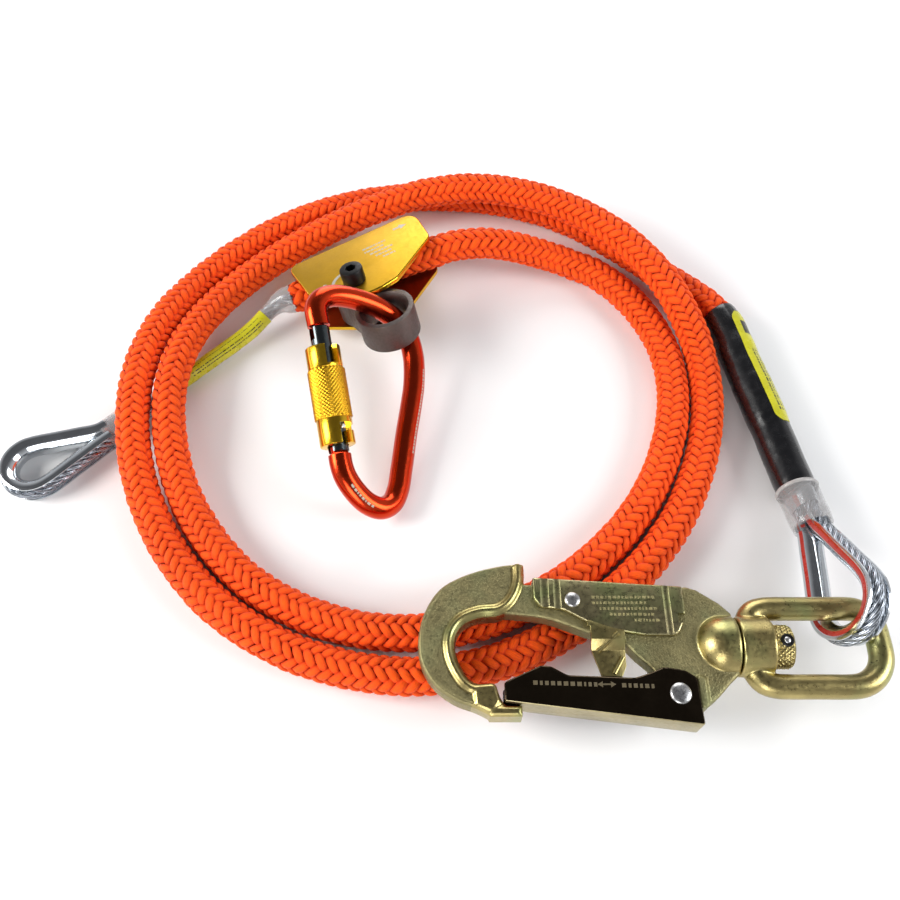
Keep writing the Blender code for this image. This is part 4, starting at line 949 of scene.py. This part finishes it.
def make_heat_shrink():
    black = stretch(MAIN, CLEAR_LENGTH + 0.2, HEAT_LENGTH, 1.0)
    s = np.linspace(CLEAR_LENGTH, HEAT_LENGTH, len(black))
    r = 9.45 - 0.25 * np.exp(-((s - CLEAR_LENGTH) / 3) ** 2)
    r += 0.22 * np.tanh((s - 60) / 3) - 0.12 * np.tanh((s - 84) / 2.5)
    r += 0.10 * np.sin(s / 2.3) * (s > 84) + 0.05 * np.sin(s / 3.1)
    r -= 0.35 * np.exp(-((s - HEAT_LENGTH) / 1.2) ** 2)
    outer = np.stack([r, r], 1)
    inner = np.full_like(outer, 8.95)
    tube = pipe("heat_shrink_tube", black, outer, inner, 56)
    place(tube, "lanyard", HEAT_BLACK, ["heat_shrink"], angle=50)
    start, end = CLEAR_LENGTH + 34, HEAT_LENGTH - 6
    label = stretch(MAIN, start, end, 0.8)
    u = np.linspace(0, 1, len(label))
    span = 1 - np.maximum(np.maximum(0.07 - u, 0), np.maximum(u - 0.93, 0)) ** 2 / 0.07**2 * 0.55
    low, high = 128 - 37 * span, 128 + 37 * span
    at = np.interp(np.linspace(start, end, len(label)), s, r)
    look = label_material("yellow_label", (6, 44), ((0.30, 0.38), (0.46, 0.54), (0.62, 0.68)), (54, 62))
    wrap_label("heat_shrink_label", label, end - start, at, 0.2, low, high, 14, look, "label_hook")


def make_tail():
    normal = direction(TAIL_EYE, (0, 0, 1))
    root = stretch(TAIL, TAIL_LENGTH - 19, TAIL_LENGTH, 4)
    sign = side_sign(root, normal, TAIL_EYE)
    dead = beside(root, normal, -sign * LEG)
    line = respaced(TAIL, 2.5)
    s = arc_lengths(line)
    near_eye = np.clip((TAIL_LENGTH - s - 17) / 18, 0, 1)
    live = line + across(line, normal)[1] * (sign * LEG * (1 - near_eye))[:, None]
    wire = smooth([*live[:-1:2], *eye_line(TAIL_EYE, 35.0, 13.2), *dead[::-1][1:]], 1.2)
    laid_wire("eye_wire_tail", wire, CABLE_R, "lanyard", ["cable_eye_tail"])
    thimble("eye_thimble_tail", TAIL_EYE, wire, 1.4, -4, "thimble_tail", False)
    clear = stretch(TAIL, TAIL_LENGTH - 38.5, TAIL_LENGTH, 1.0)
    t = np.clip(np.linspace(-1.2, 1.2, len(clear)) + 0.5, 0, 1)
    t = t * t * (3 - 2 * t)
    outer = np.stack([4.3 + 4.6 * t, 4.3 + 1.1 * t], 1)
    sleeve = pipe("eye_sleeve_tail", clear, outer, outer - 0.45, 40, normal)
    place(sleeve, "lanyard", CLEAR, ["clear_sleeve_tail"])
    tube = stretch(TAIL, 0, TAIL_LENGTH - 38, 1.0)
    d = arc_lengths(tube)
    t = np.minimum(d / 16, 1)
    r = 7.6 - 3.5 * t * t * (3 - 2 * t) + 0.06 * np.sin(d / 2.1)
    outer = np.stack([r, r], 1)
    place(pipe("tail_shrink", tube, outer, outer - 0.35, 32), "lanyard", CLEAR, ["tail_tube"])
    start, end = 18.0, 74.0
    label = stretch(TAIL, start, end, 0.8)
    at = np.interp(np.linspace(start, end, len(label)), d, r)
    look = label_material("tail_label_ink", (4, 50), ((0.34, 0.37), (0.42, 0.45), (0.55, 0.57)), (90, 91))
    wrap_label("tail_label", label, end - start, at, 0.18, -60, 200, 20, look, "label_tail")


# ---------------------------------------------------------------- rope grab


def make_shell():
    corners = [(-26, 36), (49.5, 36), (47.5, 9), (19, -12.5), (10, -14.3), (0, -14.3), (-24, 5)]
    outline = rounded(corners, [6, 9, 8, 7, 5, 10, 7], 10)
    shell = slab("shell", GRAB, outline, -SHELL_DEPTH, 0.0, 1.1, 4)
    back = 36.0 - SHELL_T
    cut(shell, slab("channel", GRAB, rect(-60, 90, -60, back), -SHELL_T - SHELL_INSIDE, -SHELL_T, 1.2, 3))
    cut(shell, drum(GRAB, 0, 0, 3.6, -40, 10))
    others = [GOLD_BRIGHT, CHANNEL_PAINTED_SHADE]
    place(shell, "grab", GOLD_TOP, ["grab_shell"], angle=40, others=others)
    up = direction(GRAB, (0, 0, 1))
    paint(shell, lambda c, normal: abs(normal.dot(up)) < 0.93, 1)
    inside = GRAB.inverted()

    def in_channel(centre, normal):
        local = inside @ centre
        return -SHELL_T - SHELL_INSIDE - 0.1 < local.z < -SHELL_T + 0.1 and local.y < back + 0.1

    # Faces inside the channel take the darker brown: painted shade in the channel.
    paint(shell, in_channel, 2)
    arrow = [(41.5, 27.5), (37.5, 29.6), (37.5, 28.3), (33.5, 28.3), (33.5, 26.7), (37.5, 26.7), (37.5, 25.4)]
    marks = [arrow]
    rng = np.random.default_rng(5)
    for x0, x1, y in ((13, 26, 21), (13, 24, 17.8), (15, 27, 14.6), (17, 25, 11.4), (20, 27, 8.2)):
        marks += [rect(x, x + w, y, y + 1.3) for x, w in dashes(rng, x0, x1, 0.7, 2.0, 0.5)]
    for r0, r1, a0, a1 in ((9.5, 11.0, 85, 190), (13.5, 15.0, 150, 205)):
        turn = np.radians(np.linspace(a0, a1, 24))
        arc = [(r0 * math.cos(a) * 1.15, r0 * math.sin(a)) for a in turn]
        arc += [(r1 * math.cos(a) * 1.15, r1 * math.sin(a)) for a in turn[::-1]]
        marks.append(arc)
    made = [slab("mark", GRAB, m, 0.0, 0.05) for m in marks]
    place(joined("shell_marks", made), "grab", MARK)


def make_cam():
    points = []
    to_rope = 90 + math.degrees(ROPE_SLANT)
    for k in np.arange(-30, 216, 2.0):
        tooth = 0.9 * abs(math.sin(math.radians(k) * 15)) if 42 <= k <= 140 else 0.0
        r = min(max(CAM_REACH + 0.05 * (k - to_rope) - tooth, 7.2), 12.6)
        points.append((r * math.cos(math.radians(k)), r * math.sin(math.radians(k))))
    x, y = CAM_EYE
    for a in np.radians(np.linspace(152, 388, 70)):
        points.append((x + CAM_EYE_R * math.cos(a), y + CAM_EYE_R * math.sin(a)))
    half = CAM_T / 2
    cam = slab("cam_lever_body", GRAB, points, CHANNEL_MID - half, CHANNEL_MID + half, 0.5, 2)
    b = CAM_EYE_BORE
    mouth = [(0, -half - 0.2), (b + 2.2, -half - 0.2), (b + 1.5, -half + 0.6), (b + 0.7, -half + 2.2)]
    mouth += [(b + 0.1, -half + 4.4), (b, -half + 6.0)]
    mouth += [(r, -z) for r, z in reversed(mouth)]
    cut(cam, lathe("mouth", shifted(GRAB, *CAM_EYE, CHANNEL_MID), mouth, 72))
    cut(cam, drum(GRAB, 0, 0, 4.62, -40, 10))
    place(cam, "cam_lever", CAM_GREY, ["cam"], angle=35)


def make_axle():
    low = -SHELL_DEPTH
    r, head, h = 3.5, 6.0, 8.0
    shank = [(0, low - 4.2), (r - 0.5, low - 4.2), (r, low - 3.7), (r, 0.1)]
    top = [(head - 0.3, 0.1), (head, 0.4), (head, h - 0.9), (head - 0.25, h - 0.3), (head - 0.8, h), (0, h)]
    bolt = lathe("axle", GRAB, shank + top)
    cut(bolt, slab("socket", GRAB, oval(2.9, 2.9, 6), h - 4.5, h + 2))
    place(bolt, "grab", BLACK_STEEL, ["axle_bolt"])
    nut = slab("axle_hex_nut", GRAB, oval(6.35, 6.35, 6), low - 3.6, low - 0.1, 0.4, 2)
    place(cut(nut, drum(GRAB, 0, 0, 3.58, -60, 0)), "grab", BLACK_STEEL, ["axle_nut"])
    middle = shifted(GRAB, 0, 0, CHANNEL_MID)
    spring = coil_spring("cam_return_spring", shifted(middle, 0, 0, 2.9), 4.08, 0.7, CAM_T / 2 - 3.6, 4)
    place(spring, "grab", STEEL, ["cam_spring"])


# ---------------------------------------------------------------- carabiner


def make_carabiner():
    route = smooth([(*q, 0.0) for q in (GATE_NOSE_END, *BINER_ROUTE, GATE_HINGE_END)], 1.2)
    points = moved(BINER, route)
    s = arc_lengths(points)
    body = bar("bar", points, 5.4, 40, direction(BINER, (0, 0, 1)))
    end = GATE_LENGTH
    nose = rounded(rect(end - 5.5, end + 1, -2.2, 2.2), [1, 0, 0, 1])
    tongue = rounded(rect(-1, 7.0, -3.8, 3.8), [0, 3.6, 3.6, 0])
    nose, tongue = slab("nose", GATE, nose, -1.7, 1.7, 0.3, 2), slab("tongue", GATE, tongue, -1.9, 1.9, 0.3, 2)
    pieces = [body, nose, tongue]
    place(joined("carabiner_bar", pieces), "carabiner", RED, ["carabiner_body"], angle=45)
    made = []
    rng = np.random.default_rng(3)
    total = s[-1]
    for first, last in ((total * 0.44, total * 0.66), (total * 0.86, total * 0.93)):
        for x, w in dashes(rng, first, last, 0.6, 1.9, 0.55):
            strip = stretch(points, x, x + w, 0.6)
            made.append(patch("dash", strip, 5.36, 5.44, 60, 71, direction(BINER, (0, 0, 1)), 4))
    place(joined("carabiner_marks", made), "carabiner", MARK)


def slot_for(name, x0, x1, half):
    return slab(name, GATE, rect(x0, x1, -7, 7), -half, half)


def make_gate():
    end = GATE_LENGTH - 0.5
    r = 4.8
    profile = [(0, 0.9), (r - 0.6, 0.9), (r, 1.5), (r, end - 0.6), (r - 0.6, end), (0, end)]
    gate = lathe("biner_gate_tube", ALONG_GATE, profile, 56)
    cut(gate, slot_for("fork", -3, 7.8, 2.2), slot_for("catch", end - 6.6, end + 3, 2.0))
    cut(gate, lathe("bore", ALONG_GATE, [(0, 6), (2.0, 6), (2.0, 24), (0, 24)], 24))
    place(gate, "biner_gate", GATE_GREY, ["carabiner_gate"])
    spring = coil_spring("sleeve_return_spring", shifted(ALONG_GATE, 0, 0, 17.2), 5.55, 0.7, 15.5, 4)
    place(spring, "biner_gate", STEEL, ["sleeve_spring"])


def make_sleeve():
    z0, z1, g0, g1 = 4.2, 52.0, 16.6, 41.3
    outside = [(5.1, z0), (7.7, z0), (8.15, z0 + 0.2), (8.3, z0 + 0.6)]
    outside += [(8.3, g0), (8.2, g0 + 0.2), (8.2, g1 - 0.2)]
    outside += [(8.3, g1), (8.3, z1 - 0.6), (8.15, z1 - 0.2), (7.7, z1), (5.1, z1)]
    spring_room = [(5.1, 36), (6.3, 34.6), (6.3, 15.6), (5.1, 14.4)]
    sleeve = lathe("lock_collar", ALONG_GATE, outside + spring_room, 72)
    turned_over = ALONG_GATE @ Matrix.Rotation(math.pi, 4, "Z")
    for a0, a1, low, high in ((-14, 84, 10.2, 13.8), (-14, 14, 2, 10.4), (-22, 22, g1 + 1.2, z1 + 2)):
        turn = np.radians(np.linspace(a0, a1, 24))
        sector = [(4.0 * math.cos(a), 4.0 * math.sin(a)) for a in turn]
        sector += [(11.0 * math.cos(a), 11.0 * math.sin(a)) for a in reversed(turn)]
        cut(sleeve, slab("slot", turned_over, sector, low, high))
    place(sleeve, "biner_sleeve", GOLD_BRIGHT, ["lock_sleeve"])
    band = knurled(ALONG_GATE, 9.0, g0, g1, 30, 0.75)
    place(band, "biner_sleeve", GOLD_KNURL, angle=180)


# ---------------------------------------------------------------- snap hook


def outline_of(curves):
    return [tuple(p[:2]) for curve in curves for p in curve]


def flat(points, step=1.2):
    return smooth([(*p, 0.0) for p in points], step)


def make_hook_body():
    outer = flat([(31, 35), (25, 34.8), (14, 32.6), (4, 29), (-4, 24), (-10, 15), (-13, 3.5), (-12.2, -7),
                  (-7, -16.5), (1.5, -23), (10.5, -26.4), (15, -28.6)])
    nose = [(16.5, -29.5), (28.5, -29.5), (28.5, -25.4), (22, -25.2), (20, -22), (18.2, -17.4)]
    throat = flat([(17.4, -17), (9, -15.5), (4.4, -9.5), (2.2, -3), (2.4, 3), (5.5, 8), (12, 11),
                   (20.5, 12), (26, 15.5), (30.0, 22), (31.4, 28), (31.5, 34.6)])
    claw = outline_of([outer, nose, throat])
    panel = slab("panel", HOOK, claw, -4.9, 4.9, 0.8)
    bead = beside(throat, Z, 2.7)
    bead = swept("bead", moved(HOOK, bead[:, :2]), oval(2.9, 6.4, 24), Z)
    block = slab("block", HOOK, rounded([(9.5, -25.6), (9.0, -17), (18.2, -16.2), (20.4, -24), (17, -28.6)],
                                        [2, 2, 2.5, 2, 2]), -6.3, 6.3, 1.2)
    lip = slab("lip", HOOK, [(15.5, -29.5), (28.5, -29.5), (28.5, -25.4), (15.5, -25.2)], -6.0, 6.0, 1.2)
    rim = beside(outer, Z, 1.1)
    rim = swept("rim", moved(HOOK, rim[:, :2]), oval(1.2, 5.5, 14), Z)
    under = [(20, 13.2), (39, 11), (47, 8.5), (56, 5), (70, 1), (76, -5), (82, -11), (85, -17), (87, -25)]
    under = flat(under)
    lug = [(88.5, -27.5), (93, -28.3), (99, -27)]
    back = flat([(99, -27), (106, -22.5), (113.2, -15.6), (117.1, -12.3)])
    top = [(117.1, 13), (112.6, 17.6), (104, 23.5), (99.5, 25), (97, 24.6), (51, 25.6), (24, 26)]
    spine = slab("spine", HOOK, outline_of([under, lug, back, top]), -4.5, 4.5, 0.8)
    ends = [(12.5 * math.sin(a), 112 - 11.6 * math.cos(a)) for a in np.radians(np.linspace(4, 90, 22))]
    dome = lathe("dome", ALONG_HOOK, [(0, 100.4), *ends, (12.5, 116.4), (11.9, 117.1), (0, 117.1)], 64)
    post = [(98.6, -26.5), (102.4, -26.0), (102.4, -14), (98.6, -13)]
    post = slab("post", HOOK, rounded(post, [1.6] * 4, 5), -6.2, 6.2, 0.9, 2)
    body = forged("hook_forging", [panel, bead, block, lip, rim, spine, dome, post], 0.5, 5)
    place(body, "hook", FORGED_ZINC, ["hook_body"], angle=180, others=[YELLOW_ZINC])
    bead_line = np.array([(p[0], p[1]) for p in beside(throat, Z, 2.7)])

    def polished(centre, normal):
        local = centre - HOOK.translation
        if local.x > 98 and math.hypot(local.y, local.z) < 13 and (abs(local.z) > 4.7 or local.x > 116.3):
            return True
        near = np.min(np.hypot(bead_line[:, 0] - local.x, bead_line[:, 1] - local.y))
        return near < 2.9 or (8.5 < local.x < 29 and local.y < -16)

    paint(body, polished, 1)


def rivet(name, pivot, r, head, grip, node):
    t = np.linspace(0, 1, 8)
    dome = [(head * math.cos(a), grip + 0.3 + 1.25 * math.sin(a)) for a in t * math.pi / 2]
    side = [(head - 0.15, grip + 0.1), *dome[:-1], (0, grip + 1.55)]
    profile = [(x, -z) for x, z in reversed(side)] + [(r, -grip - 0.1), (r, grip + 0.1)] + side
    obj = lathe(name, shifted(HOOK, *pivot), profile, 40)
    cut(obj, drum(shifted(HOOK, *pivot), 0, 0, head * 0.28, grip + 1.05, grip + 4, 24))
    place(obj, "hook", STEEL, [node])


def make_hook_gate():
    cheek = [(21.6, -16.5), (25.5, -14.6), (36.5, -9.6), (40.5, -10), (47, -13.6), (74, -14.6),
             (80, -12.6), (86, -10.2), (94, -11.6), (98.5, -14.5), (99.2, -33.2), (21.6, -23.9)]
    cheek = rounded(cheek, [1.5, 2, 3, 4, 6, 10, 6, 5, 4, 3, 1, 0.8], 6)
    gate = slab("gate_channel", HOOK, cheek, -GATE_HALF, GATE_HALF, 0.7, 3)
    hollow = [(5, -22.4), (120, -33.7), (120, 40), (5, 40)]
    cut(gate, slab("hollow", HOOK, hollow, -5.1, 5.1, 0.7))
    cut(gate, drum(HOOK, *GATE_PIVOT, 2.58, -20, 20, 32))
    place(gate, "gate", DARK_ZINC, ["hook_gate"], angle=30, others=[GATE_WEB])
    paint(gate, lambda c, normal: normal.y < -0.6, 1)
    made = []
    rng = np.random.default_rng(9)
    for x, w in dashes(rng, 33.0, 80, 0.8, 1.9, 0.9):
        y = -17.6 - (x - 33) * 0.03
        if not 58 < x < 66:
            made.append(slab("dash", HOOK, rect(x, x + w, y, y + 1.7), 6.88, 6.93))
    arrow = [(58.5, -17.4), (60.6, -16.2), (60.6, -17.1), (63.8, -17.1), (63.8, -16.2), (65.9, -17.4),
             (63.8, -18.6), (63.8, -17.7), (60.6, -17.7), (60.6, -18.6)]
    made.append(slab("arrow", HOOK, arrow, 6.88, 6.93))
    place(joined("gate_stamps", made), "gate", STAMP)
    rivet("gate_pivot_rivet", GATE_PIVOT, 2.5, 4.3, GATE_HALF, "gate_rivet")


def make_lever():
    cover = [(34.8, 28.2), (97.6, 24.2), (97.6, 13), (97.0, 9.5), (93.5, 3), (80, 3), (67, 5.2),
             (56, 9), (47, 14), (37.5, 15.2), (34.8, 19)]
    cover = rounded(cover, [1, 1, 2, 3, 4, 8, 10, 10, 8, 3, 3], 6)
    lever = slab("lever_cover", HOOK, cover, -COVER_HALF, COVER_HALF, 0.9, 3)
    side = HOOK @ frame((0, 0, 0), (1, 0, 0), (0, 0, 1))
    for x, r, y0 in ((39.6, 3.4, 10), (44.8, 2.6, 10), (90.2, 2.4, 0)):
        groove = oval(r, r, 28, 0.05) + (x, COVER_HALF + r - 0.55)
        cut(lever, slab("flute", side, groove, -40, -y0), solver="MANIFOLD")
    hollow = slab("hollow", HOOK, [(20, 27.6), (120, 21.3), (120, -20), (20, -20)], -4.9, 4.9, 0.7)
    cut(lever, hollow, solver="MANIFOLD")
    cut(lever, drum(HOOK, *LEVER_PIVOT, 2.08, -20, 20, 32), solver="MANIFOLD")
    cut(lever, slab("notch", HOOK, rect(94.2, 100, 12.2, 8.2), 0, 20), solver="MANIFOLD")
    fold = [(9.5, 5.1), (0.8, 5.1), (-3.2, 1.6), (-13.2, 1.6)]
    fold += [(-13.2, 3.2), (-2.6, 3.2), (1.4, 6.64), (9.5, 6.64)]
    tab = slab("tab", HOOK @ frame((0, 0, 0), (0, 1, 0), (0, 0, 1)), fold, 56.5, 71.5)
    trims = (
        [(55, -14), (61.5, -14), (57.6, -2), (57.6, 7), (50, 7), (50, -14)],
        [(66.5, -20), (72.5, -20), (72.5, -6.5)],
    )
    cut(tab, *(slab("trim", HOOK, outline, -20, 20) for outline in trims))
    ribs = []
    for a, b in (((60.2, -3.0), (68.8, 4.0)), ((66.2, -12.2), (70.4, -5.4))):
        za, zb = (3.3 + max(0.0, min((p[1] + 2.6) / 4.0, 1.0)) * 3.4 for p in (a, b))
        path = np.linspace((*a, za), (*b, zb), 12)
        ribs.append(bar("rib", moved(HOOK, path), 1.0, 16))
    pieces = [bevelled(tab, 0.25, 2), *ribs]
    place(joined("lever_tab", pieces), "lever", YELLOW_ZINC, angle=35)
    place(lever, "lever", PRESSED_ZINC, ["lock_lever"], angle=30)
    made = []
    rng = np.random.default_rng(21)
    for row, (x0, x1) in enumerate(((59, 84), (59, 82), (62, 85), (66, 84), (76, 85))):
        y = 18.6 - row * 2.5
        for x, w in dashes(rng, x0, x1, 0.6, 1.6, 0.6):
            made.append(slab("dash", HOOK, rect(x, x + w, y, y + 1.2), 6.68, 6.72))
    place(joined("lever_stamps", made), "lever", FORGED_ZINC)
    rivet("lever_pivot_rivet", LEVER_PIVOT, 2.0, 3.3, COVER_HALF, "lever_rivet")


def make_swivel():
    z0, z1, c, r, nut_r = 117.7, 131.6, 12.2, 5.5, 9.1
    end = z1 + 9.1
    root = [(z1 - 7.5, 7.5), (z1 - 7.1, 11), (z1 - 4.6, 14.6), (z1, 16.2)]
    root += [(z1 + 5.5, BAIL_HALF), (148, BAIL_HALF)]
    sides = []
    for corner in (9.5, 15.0):
        turn = np.linspace(0, math.pi / 2, 8)
        bend = [(corner * math.sin(a), corner * math.cos(a)) for a in turn]
        sides.append(root + [(BAIL_TOP - corner + x, BAIL_HALF - corner + y) for x, y in bend])
    line = sides[0] + [(x, -y) for x, y in reversed(sides[1])]
    legs = bar("legs", moved(HOOK, flat(line, 1.0)[:, :2]), 5.0, 36, Z)
    collar = [(0, z0), (c - 0.7, z0), (c - 0.2, z0 + 0.3), (c, z0 + 0.8), (c, z1 - 1.0), (c - 0.3, z1 - 0.3),
              (c - 1.0, z1), (0, z1)]
    collar = lathe("collar", ALONG_HOOK, collar, 72)
    bail = forged("bail_forging", [legs, collar], 0.42, 6)
    cut(bail, lathe("room", ALONG_HOOK, [(0, 110), (r + 0.1, 110), (r + 0.1, z1 + 2), (nut_r + 0.3, z1 + 2),
                                         (nut_r + 0.3, end + 3), (0, end + 3)], 48))
    place(bail, "bail", YELLOW_ZINC, ["swivel_bail"], angle=40)
    stud = lathe("stud", ALONG_HOOK, [(0, 116), (r, 116), (r, end - 0.7), (r - 0.6, end), (0, end)], 48)
    place(stud, "hook", YELLOW_ZINC, ["swivel_stud"])
    n0, n1 = z1 + 0.5, z1 + 8.1
    core = [(r + 0.05, n0), (8.5, n0), (8.5, n1), (7.9, n1 + 0.2), (r + 0.05, n1 + 0.2)]
    core = lathe("core", ALONG_HOOK, core, 64)
    nut = joined("knurled_nut", [core, knurled(ALONG_HOOK, nut_r, n0, n1, 26, 0.8)])
    place(nut, "hook", YELLOW_ZINC, ["swivel_nut"], angle=40)
    middle = (n0 + n1) / 2 + 0.6
    at = shifted(HOOK, middle, 0)
    ring = [(1.6, 8.2), (2.7, 8.2), (2.7, 9.0), (2.4, 9.3), (1.7, 9.3)]
    place(lathe("pin_seat", at, ring, 36), "hook", BLACK_STEEL)
    tip = [(1.5 * math.cos(a), 8.9 + 0.8 * math.sin(a)) for a in np.linspace(0, math.pi / 2, 7)]
    pin = lathe("retaining_pin", at, [(0, -8.9), (1.5, -8.9), *tip[:-1], (0, 9.7)], 28)
    place(pin, "hook", STEEL, ["nut_pin"])


for make in (
    make_stage, make_rope, make_hook_eye, make_heat_shrink, make_tail, make_shell, make_cam, make_axle,
    make_carabiner, make_gate, make_sleeve, make_hook_body, make_hook_gate, make_lever, make_swivel,
):
    make()

CARRIED = {
    "ferrule_hook": BRIGHT_ZINC, "ferrule_tail": BRIGHT_ZINC, "washer_upper": STEEL, "washer_lower": STEEL,
    "cam_bushing": BRONZE, "gate_pin": STEEL, "gate_plunger": STEEL, "gate_plunger_spring": STEEL,
    "sleeve_pin": STEEL, "gate_spring": STEEL, "lever_spring": STEEL,
}
for node, material in CARRIED.items():
    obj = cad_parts[node]
    obj.data.materials.clear()
    obj.data.materials.append(material)
